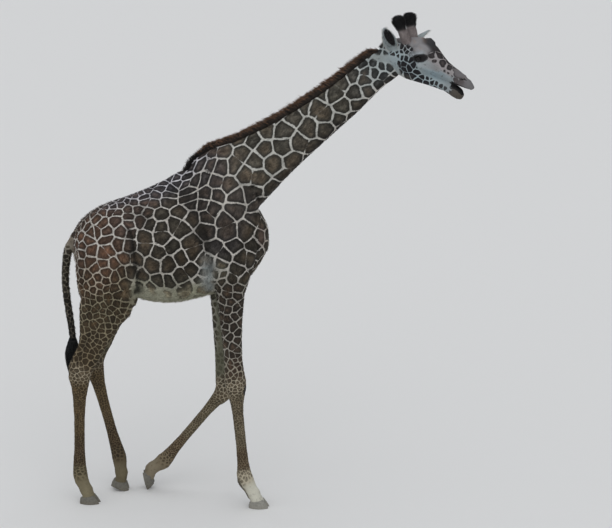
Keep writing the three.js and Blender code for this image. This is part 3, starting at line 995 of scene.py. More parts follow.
markings = {
    "seed": 11, "tries": 34000, "nearest": 4, "spread": 0.94, "uneven": (0.78, 1.28),
    "joined": 0.28, "headJoined": 0.5, "spur": 0.016, "backFrom": 2380, "backStretch": 0.35,
    "warp": 0.02, "warpScale": 7.0, "rag": 0.004, "ragScale": 60.0, "hairScale": 420.0,
    "dark": 1.0, "light": 1.6, "thin": 0.76,
    # colours of the painted shade in creases, of the painted highlight over the eyes, and of bare dark skin
    # with painted shade in hollows
    "creaseShadeColour": (26, 24, 21), "browHighlightColour": (158, 164, 168), "darkSkinAndShadeColour": (30, 28, 29),
}
coatValues = ("line", "patch", "pale", "darkSkinAndShade", "browHighlight", "fold", "fade")
seedPairs = [(0, 1), (0, 2), (0, 3), (1, 2), (1, 3), (2, 3)]  # of the four seeds nearest to a place


def stretched(places):
    # the space in which patches are even: lengthened upwards over the back, so that they lie flat there
    flat = places.copy()
    body = inBodyFrame(places)
    above = body[:, 2] - markings["backFrom"]
    over = np.clip(above / 260, 0, 1) * np.clip((260 - body[:, 0]) / 200, 0, 1)
    over *= np.clip((body[:, 0] + 900) / 200, 0, 1)
    flat[:, 2] += markings["backStretch"] * over * above / 1000
    return flat


def cornersOf(mesh):
    mesh.calc_loop_triangles()
    corners = np.empty(len(mesh.loop_triangles) * 3, dtype=np.int64)
    mesh.loop_triangles.foreach_get("vertices", corners)
    return corners.reshape(-1, 3)


def scatter(mesh, count, rng, density):
    # random places on a mesh, closer where its density is high, with what is needed to blend vertex values
    corners, places = cornersOf(mesh), placeOf(mesh)
    a, b, c = places[corners[:, 0]], places[corners[:, 1]], places[corners[:, 2]]
    area = np.linalg.norm(np.cross(b - a, c - a), axis=1) * density[corners].mean(axis=1)
    chosen = np.searchsorted(np.cumsum(area), rng.random(count) * area.sum())
    chosen = np.minimum(chosen, len(area) - 1)
    u, v = rng.random(count), rng.random(count)
    fold = u + v > 1
    u[fold], v[fold] = 1 - u[fold], 1 - v[fold]
    return corners[chosen], np.stack([1 - u - v, u, v], axis=1)


def blended(values, corners, weights):
    # values of the vertices, blended at scattered places
    if values.ndim == 1:
        return (values[corners] * weights).sum(axis=1)
    return (values[corners] * weights[:, :, None]).sum(axis=1)


def plantSeeds(mesh, around):
    # patch centres, as close together as the patches there are small
    rng = np.random.default_rng(markings["seed"])
    picked = scatter(mesh, markings["tries"], rng, around["cell"] ** -2)
    spots = stretched(blended(placeOf(mesh), *picked))
    apart = blended(around["cell"], *picked) * markings["spread"]
    apart = apart * rng.uniform(*markings["uneven"], len(spots))
    seeds, reach, used = np.empty((len(spots), 3)), np.empty(len(spots)), 0
    for spot, need in zip(spots, apart):
        gap = seeds[:used] - spot
        if np.any(np.einsum("ij,ij->i", gap, gap) < (0.5 * (need + reach[:used])) ** 2):
            continue
        seeds[used], reach[used] = spot, need
        used += 1
    return seeds[:used]


def markFaces(seeds, places):
    # each face remembers the seeds nearest to it, and which of them belong to one patch
    rng = np.random.default_rng(markings["seed"] + 1)
    tree = KDTree(len(seeds))
    for i, seed in enumerate(seeds):
        tree.insert(seed, i)
    tree.balance()
    group = np.arange(len(seeds))
    chance = np.where(inHeadFrame(seeds)[:, 0] > 60, markings["headJoined"], markings["joined"])
    for i, seed in enumerate(seeds):
        if rng.random() < chance[i]:
            group[i] = group[tree.find_n(seed, 2)[1][1]]
    found = np.array([[hit[1] for hit in tree.find_n(place, markings["nearest"])] for place in places])
    own = group[found]
    tone = rng.random(len(seeds))
    same = np.stack([own[:, i] == own[:, j] for i, j in seedPairs], axis=1).astype(float)
    return {
        **{f"seed{k}": seeds[found[:, k]] for k in range(4)},
        "joinA": same[:, :3], "joinB": same[:, 3:], "tone": tone[own[:, 0]],
    }


def centresOf(mesh):
    out = np.empty(len(mesh.polygons) * 3)
    mesh.polygons.foreach_get("center", out)
    return out.reshape(-1, 3)


def markMesh(mesh, around, seeds):
    places = placeOf(mesh)
    values = {key: around[key] for key in coatValues}
    store(mesh, "POINT", {"spot": stretched(places), "root": places, **values})
    store(mesh, "FACE", markFaces(seeds, stretched(centresOf(mesh))))


def coatPattern(board):
    # the pale lines between the patches, the fine hair, and how far inside its patch a place lies
    root = board.attribute("root", "Vector")
    spot = board.attribute("spot", "Vector")
    swirl = board.noise(root, markings["warpScale"], 1.0, "Color").vector("SUBTRACT", (0.5, 0.5, 0.5))
    rag = board.noise(root, markings["ragScale"], 2.0, "Color").vector("SUBTRACT", (0.5, 0.5, 0.5))
    place = spot.vector("ADD", swirl.scaled(markings["warp"] * 2))
    ragged = markings["rag"] + board.attribute("line") * 0.5
    place = place.vector("ADD", rag.scaled(ragged))
    seeds = [board.attribute(f"seed{k}", "Vector") for k in range(4)]
    away = [place.vector("SUBTRACT", seed) for seed in seeds]
    square = [gap.vector("DOT_PRODUCT", gap, out="Value") for gap in away]
    joins = []
    for word in ("joinA", "joinB"):
        joins += board.parts(board.attribute(word, "Vector"))
    border, inner = {}, {}
    for (i, j), joined in zip(seedPairs, joins):
        apart = seeds[i].vector("DISTANCE", seeds[j], out="Value")
        edge = (square[j] - square[i]) / (apart * 2 + 0.0001)
        border[i, j], border[j, i] = edge + joined, joined - edge
        inner[i, j], inner[j, i] = edge, 0 - edge
    outer, nearest = None, None
    for i in range(4):
        others = [j for j in range(4) if j != i]
        a = border[i, others[0]].softLeast(border[i, others[1]], 0.012)
        a = a.softLeast(border[i, others[2]], 0.012)
        b = inner[i, others[0]].least(inner[i, others[1]]).least(inner[i, others[2]])
        outer = a if outer is None else outer.most(a)
        nearest = b if nearest is None else nearest.most(b)
    # short pale spurs run in from the edge along the hidden borders of a joined patch
    half = board.attribute("line") * (0.34 + 0.32 * board.noise(root, 16.0, 1.0).step(0.3, 0.7))
    spur = half * (1.15 - outer / markings["spur"] * 0.5).clamped()
    hair = board.noise(root, markings["hairScale"], 3.0)
    edge = (hair - 0.5) * 0.006
    pale = 1 - (outer + edge).step(half - 0.002, half + 0.002)
    spurs = 1 - (nearest + edge).step(spur - 0.0015, spur + 0.0015)
    pale = pale.most(spurs * outer.step(0.0, 0.01))
    return root, pale, hair, outer


def paintCoat():
    board = Board("coatPaint")
    root, pale, hair, outer = coatPattern(board)
    broad = board.noise(root, 9.0, 3.0)
    fine = board.noise(root, 130.0, 3.0)
    tone, share = board.attribute("tone"), board.attribute("share")
    # patches are lighter and redder in their middles, and each has its own tone
    middle = outer.step(0.008, 0.045)
    blotch = board.noise(root, 24.0, 2.0)
    light = 0.5 + 0.4 * tone + middle * (0.3 + 1.3 * blotch.step(0.35, 0.7))
    light = light + 0.5 * (fine - 0.5) + 0.5 * (broad - 0.5)
    # places without lines are calmer
    calm = 1 - board.attribute("line").step(-0.005, 0.002)
    light = markings["dark"] * (light + calm * (1.0 + 0.4 * (broad - 0.5) + 0.3 * (fine - 0.5) - light))
    patch = board.attribute("patch", "Vector").scaled(light)
    redder = board.mix(1.0, patch, (1.16, 1.0, 0.88, 1), "MULTIPLY")
    patch = board.mix(middle * (tone * 0.6 + broad * 0.8).step(0.4, 0.95), patch, redder)
    paleTone = markings["light"] * (1 + 0.35 * (fine - 0.5) + 0.3 * (broad - 0.5) + 0.12 * share)
    line = board.attribute("pale", "Vector").scaled(paleTone)
    plain = board.attribute("fade")
    colour = board.mix(pale.most(plain), patch, line)
    fleck = board.noise(root, 42.0, 2.0).step(0.6, 0.68) * plain
    colour = board.mix(fleck * 0.5, colour, board.attribute("patch", "Vector"))
    # painted shade in the creases, darkest in the deepest grooves
    colour = board.mix(board.attribute("fold") * 0.85, colour, linear(*markings["creaseShadeColour"]))
    # a painted highlight along the upper lids and brows
    colour = board.mix(board.attribute("browHighlight"), colour, linear(*markings["browHighlightColour"]))
    # bare dark skin, and painted shade round the eyes and in the hollows of ears, mouth and nostrils
    darkSkinAndShade = (board.attribute("darkSkinAndShade") + 0.3 * (fine - 0.5)).step(0.3, 0.8)
    colour = board.mix(darkSkinAndShade, colour, linear(*markings["darkSkinAndShadeColour"]))
    height = hair * 0.4 + fine * 0.6
    normal = board.bump(height, 0.004, 0.55)
    rough = 0.72 - 0.1 * (hair - 0.5)
    return board.finish(Base_Color=colour, Roughness=rough, Normal=normal, Specular_IOR_Level=0.2)


def darkSkinShadeAndHighlight(places, normals):
    # the dark marks are bare dark skin and painted shade in hollows, and the pale mark over each eye is a
    # painted highlight
    head = inHeadFrame(places)
    facing = normals @ np.array(headPlace.to_3x3())
    darkSkinAndShade, browHighlight = np.zeros(len(places)), np.zeros(len(places))
    for side in bothSides:
        centre, out, front, up = (np.array(v) for v in eyeFrame(side))
        gap = head - centre
        ahead, above, off = gap @ front, gap @ up, np.abs(gap @ out)
        # bare dark skin round the eye, with painted shadow of the upper lid and lashes over it
        ring = np.sqrt(((ahead - 13) / 69) ** 2 + ((above - 2) / 36) ** 2)
        near = (off < 60) * (facing @ out > 0)
        bare = (1 - softEdge(ring, 0.88, 1.12)) * (1 - 0.3 * softEdge(ring, 0.42, 0.8))
        darkSkinAndShade = np.maximum(darkSkinAndShade, bare * near)
        # a painted highlight along the upper lid and brow above it
        brow = softEdge(above, 16, 28) * (1 - softEdge(ring, 1.25, 1.9)) * (1 - softEdge(ahead, 30, 70))
        brow *= 0.85 - 0.35 * softEdge(ring, 1.15, 1.4)
        browHighlight = np.maximum(browHighlight, brow * near)
        # painted shade in the hollow of the ear
        root, along, face, aside = (np.array(v) for v in earFrame(side))
        share = (head - root) @ along / ears["length"]
        across = (head - root) @ aside / ears["width"]
        onEar = (share > 0.02) * (share < 1.1) * (np.abs(head[:, 1]) > 70) * (np.abs(across) < 1.3)
        inside = onEar * (facing @ face > 0.15)
        middle = -0.14 - 0.25 * (0.6 - share)
        breadth = 0.4 + 0.2 * share
        ring = np.sqrt(((share - 0.54) / 0.46) ** 2 + ((across - middle) / breadth) ** 2)
        hollow = 1 - softEdge(ring, 0.62, 1.1)
        darkSkinAndShade = np.maximum(darkSkinAndShade, inside * hollow)
    # painted shade inside the mouth
    gape = (head[:, 0] > 575) * (head[:, 0] < 712) * (np.abs(head[:, 1]) < 60)
    gape *= (head[:, 2] > -10) * (head[:, 2] < 110)
    roof = (facing[:, 2] < -0.35) * (head[:, 2] > 40)
    jawTop = (facing[:, 2] > 0.35) * (head[:, 2] < 62)
    darkSkinAndShade = np.maximum(darkSkinAndShade, gape * (roof | jawTop))
    # painted shade in the nostril and the corner of the mouth, and the dark mark on the right knee
    body, sideways = inBodyFrame(places), softEdge(np.abs(facing[:, 1]), 0.35, 0.75)
    for own, line, low, high, where in (
        (head, [(640, 0, 136), (660, 0, 146), (676, 0, 144)], 3, 9, sideways),
        (head, [(560, 0, 60), (600, 0, 58)], 3, 8, head[:, 0] > 540),
        (body, [(571, 0, 1032), (561, 0, 978)], 9, 19, body[:, 1] < 0),
    ):
        darkSkinAndShade = np.maximum(darkSkinAndShade, (1 - softEdge(awayFrom(own * (1, 0, 1), line), low, high)) * where)
    return darkSkinAndShade, browHighlight


def lockShape(sides, cuts):
    # one pointed lock from z 0 to 1, thickest above its root; its places and its faces, the root's first
    bm = bmesh.new()
    bmesh.ops.create_cone(bm, cap_ends=True, segments=sides, radius1=1, radius2=0, depth=1,
                          matrix=Matrix.Translation((0, 0, 0.5)))
    for k in range(1, cuts):
        cut(bm, (0, 0, k / cuts), (0, 0, 1))
    bmesh.ops.remove_doubles(bm, verts=bm.verts, dist=0.0001)
    bmesh.ops.recalc_face_normals(bm, faces=bm.faces)
    bm.verts.index_update()
    places = np.array([v.co[:] for v in bm.verts])
    places[:, :2] *= (0.7 + 1.5 * places[:, 2:])
    faces = sorted(bm.faces, key=lambda face: face.calc_center_median().z)
    faces = [[v.index for v in face.verts] for face in faces]
    bm.free()
    return places, faces


def unit(vectors):
    return vectors / (np.linalg.norm(vectors, axis=-1, keepdims=True) + 1e-12)


def growLocks(name, material, shape, hair, values=None, replaced=()):
    # copies of one lock bent along their own curves: start, middle and end, flat side out
    places, faces = shape
    count, each = len(hair["start"]), len(places)
    t = places[None, :, 2:3]
    a, b, c = (hair[key][:, None, :] for key in ("start", "middle", "end"))
    path = (1 - t) ** 2 * a + 2 * t * (1 - t) * b + t ** 2 * c
    along = unit((1 - t) * (b - a) + t * (c - b))
    side = unit(np.cross(hair["out"][:, None, :], along))
    over = np.cross(along, side)
    wide, thick = hair["wide"][:, None, None], hair["thick"][:, None, None]
    where = path + side * places[None, :, 0:1] * wide + over * places[None, :, 1:2] * thick
    if "wave" in hair:
        swing = np.sin(6.28 * (hair["phase"][:, None, None] + t * hair["turns"][:, None, None]))
        where = where + side * swing * t * hair["wave"][:, None, None]
    where = where.reshape(-1, 3)
    sizes = np.array([len(face) for face in faces])
    flat = np.concatenate(faces)
    corners = (np.arange(count)[:, None] * each + flat[None, :]).ravel()
    starts = np.arange(count)[:, None] * len(flat) + (np.cumsum(sizes) - sizes)[None, :]
    mesh = bpy.data.meshes.new(name)
    mesh.vertices.add(count * each)
    mesh.vertices.foreach_set("co", where.ravel())
    mesh.loops.add(len(corners))
    mesh.loops.foreach_set("vertex_index", corners)
    mesh.polygons.add(count * len(faces))
    mesh.polygons.foreach_set("loop_start", starts.ravel())
    mesh.update(calc_edges=True)
    # each lock is a small patch of the map, at its root's place
    ring = unit(np.where(places[:, 2:] > 0.999, 1e-9, places[:, :2])) * (1 - 0.8 * places[:, 2:])
    ring[places[:, 2] > 0.999] = 0
    patch = hair["map"][:, None, :] + 0.0015 * ring[None, flat, :]
    layer = mesh.uv_layers.new(name="OFBake")
    layer.uv.foreach_set("vector", patch.astype(np.float32).ravel())
    store(mesh, "POINT", {"share": np.tile(places[:, 2], count)})
    if values:
        store(mesh, "FACE", {key: np.repeat(value, len(faces), axis=0) for key, value in values.items()})
    return addPiece(name, mesh, material, replaced), where


def onMap(values):
    # spread from edge to edge of the map
    return 0.01 + 0.98 * (values - values.min()) / (np.ptp(values) + 1e-9)


def alongLine(places, line):
    # how far each place is along a line through points, the nearest point there and the line's direction
    best = np.full(len(places), 1e9)
    share, foot, run = np.zeros(len(places)), np.zeros((len(places), 3)), np.zeros((len(places), 3))
    for k, (a, b) in enumerate(zip(line[:-1], line[1:])):
        a, b = np.array(a, float), np.array(b, float)
        t = (places - a) @ (b - a) / ((b - a) @ (b - a))
        inner = np.clip(t, 0, 1)
        point = a + inner[:, None] * (b - a)
        away = np.linalg.norm(places - point, axis=1)
        nearer = away < best
        best[nearer], foot[nearer] = away[nearer], point[nearer]
        share[nearer] = (k + (t if len(line) == 2 else inner))[nearer]
        run[nearer] = (b - a) / np.linalg.norm(b - a)
    return share, foot, run


def unwrap(places, lines):
    # a map round one or two lines, side by side, spread over the whole square
    turn, share = np.zeros(len(places)), np.zeros(len(places))
    for k, (line, mine) in enumerate(lines):
        if not np.any(mine):
            continue
        far, foot, run = alongLine(places[mine], line)
        gap = places[mine] - foot
        across = unit(np.cross(run, (0, 0.1, 1) if abs(run[0][2]) < 0.8 else (1, 0.1, 0)))
        above = np.cross(across, run)
        angle = np.arctan2((gap * across).sum(1), (gap * above).sum(1)) / (2 * math.pi) + 0.5
        turn[mine], share[mine] = (k + angle) / len(lines), far
    return np.stack([0.01 + 0.98 * turn, onMap(share)], axis=1)


# tuft lengths are in millimetres, the rest are shares of a tuft's length
coat = {
    "seed": 5, "tufts": 84000, "slim": 0.13, "stand": 0.2, "swing": 0.22, "flat": 0.26,
    "length": [(60, 10), (300, 15), (1000, 18), (1500, 24)],  # at heights over the ground
    "headLength": 9,
    # where tufts stand out more: a line seen from the side and its reach
    "standing": [
        ([(640, 0, 2330), (520, 0, 1950), (420, 0, 1840)], 90),  # breast
        ([(400, 0, 1800), (0, 0, 1730), (-400, 0, 1760)], 110),  # belly
        ([(-840, 0, 2100), (-850, 0, 1700), (-880, 0, 1250)], 60),  # back of the hocks
        ([(60, 0, 2880), (-500, 0, 2560), (-800, 0, 2360)], 50),  # back and rump
        ([(400, 0, 1800), (400, 0, 1500)], 50),  # elbow
    ],
}


def tuftLength(places):
    # in millimetres
    body, head = inBodyFrame(places), inHeadFrame(places)
    long = np.interp(body[:, 2], *zip(*coat["length"]))
    isHead = softEdge(head[:, 0], -60, 60) * (body[:, 2] > 3000)
    return long + (coat["headLength"] - long) * isHead


def tuftStand(places):
    # tufts stand out more where the form breaks, and less on the head and legs
    body = inBodyFrame(places)
    rise = np.zeros(len(places))
    for line, reach in coat["standing"]:
        rise = np.maximum(rise, smoothBump(awayFrom(body * (1, 0, 1), line), reach))
    isHead = softEdge(inHeadFrame(places)[:, 0], -60, 60) * (body[:, 2] > 3000)
    onLegs = 1 - softEdge(body[:, 2], 1500, 1750)
    return (1 + 1.3 * rise) * (1 - 0.45 * isHead) * (1 - 0.35 * onLegs)


def coatParts(roots):
    # the coat in pieces, each with the lines that its map goes round
    body, head = inBodyFrame(roots), inHeadFrame(roots)
    x, y, z = body.T
    part = np.where(x > -60, 1, 2)
    neckShare, _, _ = alongLine(roots, [at(*p[0]) for p in neckLine])
    part[(z > 2300) & (neckShare > 0.9) & (x > 480)] = 0
    part[(head[:, 0] > -70) & (z > 3300)] = 3
    part[(z < 1840) & (x > -20) & (z < 1800 + 0.2 * x)] = 4
    part[(z < 1760) & (x <= -20)] = 5
    spine = [at(600, 0, 2300), at(0, 0, 2230), at(-760, 0, 2180)]
    every = np.ones(len(roots), bool)
    left = y > 0
    legs = {name: [at(*p) for p in line] for name, line in legJoints.items()}
    return [
        ("coatNeck", part == 0, [([at(*p[0]) for p in neckLine], every)]),
        ("coatShoulder", part == 1, [(spine, every)]),
        ("coatRump", part == 2, [(spine, every)]),
        ("coatHead", part == 3, [([onHead(-80, 0, 40), onHead(700, 0, 60)], every)]),
        ("coatForelegs", part == 4, [(legs["foreLeft"], left), (legs["foreRight"], ~left)]),
        ("coatHindlegs", part == 5, [(legs["hindLeft"], left), (legs["hindRight"], ~left)]),
    ]


def bareSpots(roots):
    # no tufts in the eyes, in the mouth or under the hooves
    head = inHeadFrame(roots)
    bare = np.zeros(len(roots), bool)
    for side in bothSides:
        centre, out, front, up = (np.array(v) for v in eyeFrame(side))
        gap = head - centre
        bare |= ((gap @ front / 33) ** 2 + (gap @ up / 24) ** 2 < 1) & (np.abs(gap @ out) < 40)
    x, y, z = head.T
    bare |= (x > 585) & (x < 720) & (np.abs(y) < 40) & (z > 0) & (z < 78)
    for node in clawNodes:
        low, high = (np.array(p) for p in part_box(node))
        high = high + (0.004, 0.004, -0.022)
        low = low - (0.004, 0.004, 0.01)
        bare |= np.all((roots > low) & (roots < high), axis=1)
    return bare


def growCoat(mesh, around, seeds, material):
    # tufts that lie the way the rows run, each with the markings of its root
    rng = np.random.default_rng(coat["seed"])
    places, normals = placeOf(mesh), unit(normalsOf(mesh))
    count = coat["tufts"] // 1
    picked = scatter(mesh, count, rng, tuftLength(places) ** -1.4)
    roots, out = blended(places, *picked), unit(blended(normals, *picked))
    keep = ~bareSpots(roots)
    picked, roots, out = (picked[0][keep], picked[1][keep]), roots[keep], out[keep]
    values = {key: blended(around[key], *picked) for key in coatValues}
    lie = blended(around["lie"], *picked)
    lie = unit(lie - out * (lie * out).sum(1)[:, None])
    aside = np.cross(out, lie)
    lie = unit(lie + aside * rng.normal(0, coat["swing"], len(roots))[:, None])
    long = tuftLength(roots) / 1000 * rng.uniform(0.75, 1.3, len(roots))
    stand = coat["stand"] * tuftStand(roots) * rng.uniform(0.6, 1.4, len(roots))
    start = roots - out * 0.0012
    bend = start + lie * (long * 0.45)[:, None] + out * (long * stand * 0.9)[:, None]
    end = start + lie * long[:, None] + out * (long * stand * 0.75 + 0.0006)[:, None]
    wide = long * coat["slim"] * rng.uniform(0.8, 1.25, len(roots))
    values.update(markFaces(seeds, stretched(roots)))
    values["root"] = roots
    shape = lockShape(3, 2)
    for name, mine, lines in coatParts(roots):
        hair = {
            "start": start[mine], "middle": bend[mine], "end": end[mine], "out": out[mine],
            "wide": wide[mine], "thick": wide[mine] * coat["flat"],
            "map": unwrap(roots[mine], [(line, who[mine]) for line, who in lines]),
        }
        own = {key: value[mine] for key, value in values.items()}
        piece, where = growLocks(name, material, shape, hair, own)
        store(piece.data, "POINT", {"spot": stretched(where)})
        print(name, mine.sum(), "tufts")


def hairPaint(name, dark, light, start=0.4, end=1.0, roughness=0.55):
    # hair that changes from its root to its tip, lock by lock
    board = Board(name)
    tone, share = board.attribute("tone"), board.attribute("share")
    where = board.node("ShaderNodeTexCoord", out="Object")
    streak = board.noise(where, 60.0, 2.0)
    blend = (share + 0.35 * (tone - 0.5) + 0.25 * (streak - 0.5)).step(start, end)
    colour = board.shaded(board.mix(blend, linear(*dark), linear(*light)), 0.75 + 0.5 * tone)
    return board.finish(Base_Color=colour, Roughness=roughness, Specular_IOR_Level=0.25)


# the mane's line is in millimetres, the other lengths in metres
mane = {
    "seed": 21, "locks": 5200, "top": -0.006, "ragged": 0.009, "lean": 0.42, "wide": 0.0040,
    "voxel": 0.008, "stations": 60, "blackTo": 190,
    # the core is drawn in all round and sunk into the neck, more at the mane's two ends
    "inside": 0.013, "insideAtEnd": 0.012, "sunk": 0.026, "sunkAtEnd": 0.026, "sunkAtHead": 0.01,
    "shortest": 0.024, "longest": 0.13,
    "tall": [(60, 0.35), (320, 0.72), (620, 1), (1450, 1), (1690, 0.8)],
    "dark": (46, 40, 35), "light": (120, 90, 70), "endDark": (24, 23, 22), "endLight": (40, 34, 30),
    "coreColour": (34, 30, 27),
    "line": [(-120, 0, 2600), (250, 0, 2660), (620, -20, 2828), (858, -50, 3010), (1110, -85, 3208),
             (1368, -118, 3430), (1530, -142, 3592), (1700, -168, 3740)],
}


def aboveLine(places, foot, run):
    # which way is up from a line, and how far up from it each place is
    above = unit(np.cross(run, (0, 1, 0)) * -1)
    above *= np.sign(above[:, 2:])
    return above, ((places - foot) * above).sum(1)


def growMane():
    # locks over a core, which keeps the light from showing between them
    rng = np.random.default_rng(mane["seed"])
    solid = meshOf(voxelSkin(cadCopy("mane"), mane["voxel"]), "maneCore")
    relax(solid, 6)
    line = [at(*p) for p in mane["line"]]
    outside = placeOf(solid)
    share, foot, run = alongLine(outside, line)
    above, rise = aboveLine(outside, foot, run)
    stations = mane["stations"]
    bins = np.linspace(share.min(), share.max(), stations)
    which = np.clip(np.digitize(share, bins) - 1, 0, stations - 1)
    top = np.array([rise[which == k].max() if np.any(which == k) else np.nan for k in range(stations)])
    top = np.interp(bins, bins[~np.isnan(top)], top[~np.isnan(top)])
    along = inBodyFrame(outside)[:, 0]
    toEnd = 1 - softEdge(along, 60, 300)
    toHead = softEdge(along, 1450, 1690)
    inside = mane["inside"] + mane["insideAtEnd"] * toEnd
    sunk = mane["sunk"] + mane["sunkAtEnd"] * toEnd + mane["sunkAtHead"] * toHead
    setPlace(solid, outside - unit(normalsOf(solid)) * inside[:, None])
    relax(solid, 4)
    setPlace(solid, placeOf(solid) - above * sunk[:, None])
    picked = scatter(solid, mane["locks"] // (1), rng, np.ones(len(outside)))
    roots, out = blended(placeOf(solid), *picked), unit(blended(normalsOf(solid), *picked))
    share, foot, run = alongLine(roots, line)
    above, rise = aboveLine(roots, foot, run)
    # each lock reaches from the core to the top edge that the solid has there
    tall = np.interp(share, bins, top) + mane["top"] + rng.normal(0, mane["ragged"], len(roots)) - rise
    tall = np.clip(tall, mane["shortest"], mane["longest"])
    tall = tall * np.interp(inBodyFrame(roots)[:, 0], *zip(*mane["tall"]))
    back = -run * mane["lean"]
    start = roots - out * 0.002
    bend = start + (above * 0.55 + out * 0.18 + back * 0.2) * tall[:, None]
    end = start + (above + back) * tall[:, None] + rng.normal(0, 0.006, roots.shape)
    wide = mane["wide"] * rng.uniform(0.7, 1.3, len(roots))
    hair = {"start": start, "middle": bend, "end": end, "out": out, "wide": wide, "thick": wide * 0.5}
    spin = np.arctan2(out[:, 1], (out * above).sum(1)) / (2 * math.pi) + 0.5
    hair["map"] = np.stack([onMap(share), onMap(spin)], axis=1)
    black = inBodyFrame(roots)[:, 0] < mane["blackTo"]
    tone = rng.random(len(roots))
    paint = hairPaint("manePaint", mane["dark"], mane["light"], 0.45, 1.0)
    blackPaint = hairPaint("maneEndPaint", mane["endDark"], mane["endLight"])
    shape = lockShape(3, 3)
    corePaint = Board("maneCorePaint").finish(Base_Color=linear(*mane["coreColour"]), Roughness=0.8)
    addPiece("maneCore", solid, corePaint)
    for name, mine, material, replaced in (
        ("maneLocks", ~black, paint, ["mane"]), ("maneEndLocks", black, blackPaint, ()),
    ):
        part = {key: value[mine] for key, value in hair.items()}
        growLocks(name, material, shape, part, {"tone": tone[mine]}, replaced)


# the tail tuft, in metres
tuft = {
    "seed": 31, "locks": 1900, "wide": 0.0022, "shortest": 0.05, "longest": 0.26,
    "voxel": 0.007, "rings": 23, "inside": 0.014, "height": 0.86, "lift": 0.02,
    # from its tip to its top: how full its core is, and how close together its locks grow
    "fullness": [(0, 0.72), (0.4, 1.0), (0.78, 1.08), (1, 0.88)], "density": [(0, 0.4), (0.5, 0.9), (1, 5)],
    "dark": (16, 17, 18), "light": (38, 37, 35), "coreColour": (16, 16, 17),
}


def growTail():
    # locks hang from all over a core, longest at its top
    rng = np.random.default_rng(tuft["seed"])
    count = tuft["locks"] // 1
    low, high = (np.array(p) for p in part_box("tail_tuft"))
    solid = meshOf(voxelSkin(cadCopy("tail_tuft"), tuft["voxel"]), "tailTuftCore")
    relax(solid, 4)
    places = placeOf(solid)
    heights = np.linspace(low[2], high[2], tuft["rings"] + 1)

    def ringsOf(places):
        which = np.clip(np.digitize(places[:, 2], heights) - 1, 0, tuft["rings"] - 1)
        return [places[which == k] for k in range(tuft["rings"])]

    mid = np.array([ring.mean(0) for ring in ringsOf(places)])
    axis = np.stack([np.interp(places[:, 2], mid[:, 2], mid[:, k]) for k in range(2)], axis=1)
    share = (places[:, 2] - low[2]) / (high[2] - low[2])
    fullness = np.interp(share, *zip(*tuft["fullness"]))
    places[:, :2] = axis + (places[:, :2] - axis) * fullness[:, None]
    places[:, 2] = low[2] + (places[:, 2] - low[2]) * tuft["height"] + tuft["lift"]
    setPlace(solid, places)
    share = (placeOf(solid)[:, 2] - low[2]) / (high[2] - low[2])
    picked = scatter(solid, count, rng, np.interp(share, *zip(*tuft["density"])))
    roots, out = blended(placeOf(solid), *picked), unit(blended(normalsOf(solid), *picked))
    room = roots[:, 2] - low[2]
    long = np.clip(room * rng.uniform(0.55, 1.0, count), tuft["shortest"], tuft["longest"])
    # each lock hangs down the outside of the core
    places = placeOf(solid)
    filled = [(z, ring) for z, ring in zip(heights, ringsOf(places)) if len(ring)]
    wide = [np.linalg.norm(ring - ring.mean(0), axis=1).mean() for _, ring in filled]

    def beside(z, spread):
        # the middle of the tuft at a height, and how far from it a lock lies
        middle = np.stack([np.interp(z, mid[:, 2], mid[:, k]) for k in range(2)], axis=1)
        return middle, (np.interp(z, [height for height, _ in filled], wide) * spread)[:, None]

    setPlace(solid, places - unit(normalsOf(solid)) * tuft["inside"])
    start = roots - out * 0.015
    middle, _ = beside(start[:, 2], 1)
    way = start[:, :2] - middle
    way /= np.linalg.norm(way, axis=1)[:, None] + 1e-6
    atTop = softEdge(start[:, 2], high[2] - 0.09, high[2] - 0.05)
    start[:, 2] += atTop * rng.uniform(0, 0.03, count)
    start[:, :2] += (middle + way * 0.024 - start[:, :2]) * atTop[:, None]
    bend, end = start.copy(), start.copy()
    bend[:, 2] -= long * (0.4 - 0.1 * atTop)
    end[:, 2] -= long
    for place, least, most, more in ((bend, 1.02, 1.24, 0.006), (end, 0.7, 1.05, 0.002)):
        middle, radius = beside(place[:, 2], rng.uniform(least, most, count))
        place[:, :2] = middle + way * (radius + more)
    end[:, :2] += rng.normal(0, 0.006, (count, 2))
    hair = {
        "start": start, "middle": bend, "end": end, "out": out,
        "wide": tuft["wide"] * rng.uniform(0.7, 1.4, count),
        "thick": np.full(count, tuft["wide"] * 0.6), "wave": rng.uniform(0.002, 0.007, count),
        "phase": rng.random(count), "turns": rng.uniform(0.8, 2.2, count),
    }
    spin = np.arctan2(out[:, 1], out[:, 0]) / (2 * math.pi) + 0.5
    hair["map"] = np.stack([0.01 + 0.98 * spin, onMap(-roots[:, 2])], axis=1)
    paint = hairPaint("tailTuftPaint", tuft["dark"], tuft["light"], 0.5, 1.2, 0.45)
    corePaint = Board("tailCorePaint").finish(Base_Color=linear(*tuft["coreColour"]), Roughness=0.7)
    addPiece("tailTuftCore", solid, corePaint, ["tail_tuft"])
    growLocks("tailTuftHair", paint, lockShape(3, 6), hair, {"tone": rng.random(count)})


def eyePaint():
    board = Board("eyePaint")
    spot = board.attribute("eyeSpot", "Vector")
    x, y, _ = board.parts(spot)
    far = (x * x + y * y).math("SQRT")
    rays = board.noise(spot, 22.0, 3.0)
    iris = board.mix(rays.step(0.35, 0.7), linear(*eyes["irisDark"]), linear(*eyes["irisLight"]))
    rim = board.mix(far.step(0.52, 0.66), iris, linear(*eyes["rim"]))
    white = board.mix(far.step(0.74, 0.95), rim, linear(*eyes["white"]))
    # the pupil is a lying slot
    across = (x * 1.9).math("POWER", 2)
    slot = (across + (y * 3.4).math("POWER", 2)).math("SQRT")
    colour = board.mix(slot.step(0.8, 0.98), linear(*eyes["pupil"]), white)
    return board.finish(Base_Color=colour, Roughness=0.12, Specular_IOR_Level=0.2,
                        Coat_Weight=0.12, Coat_Roughness=0.02)


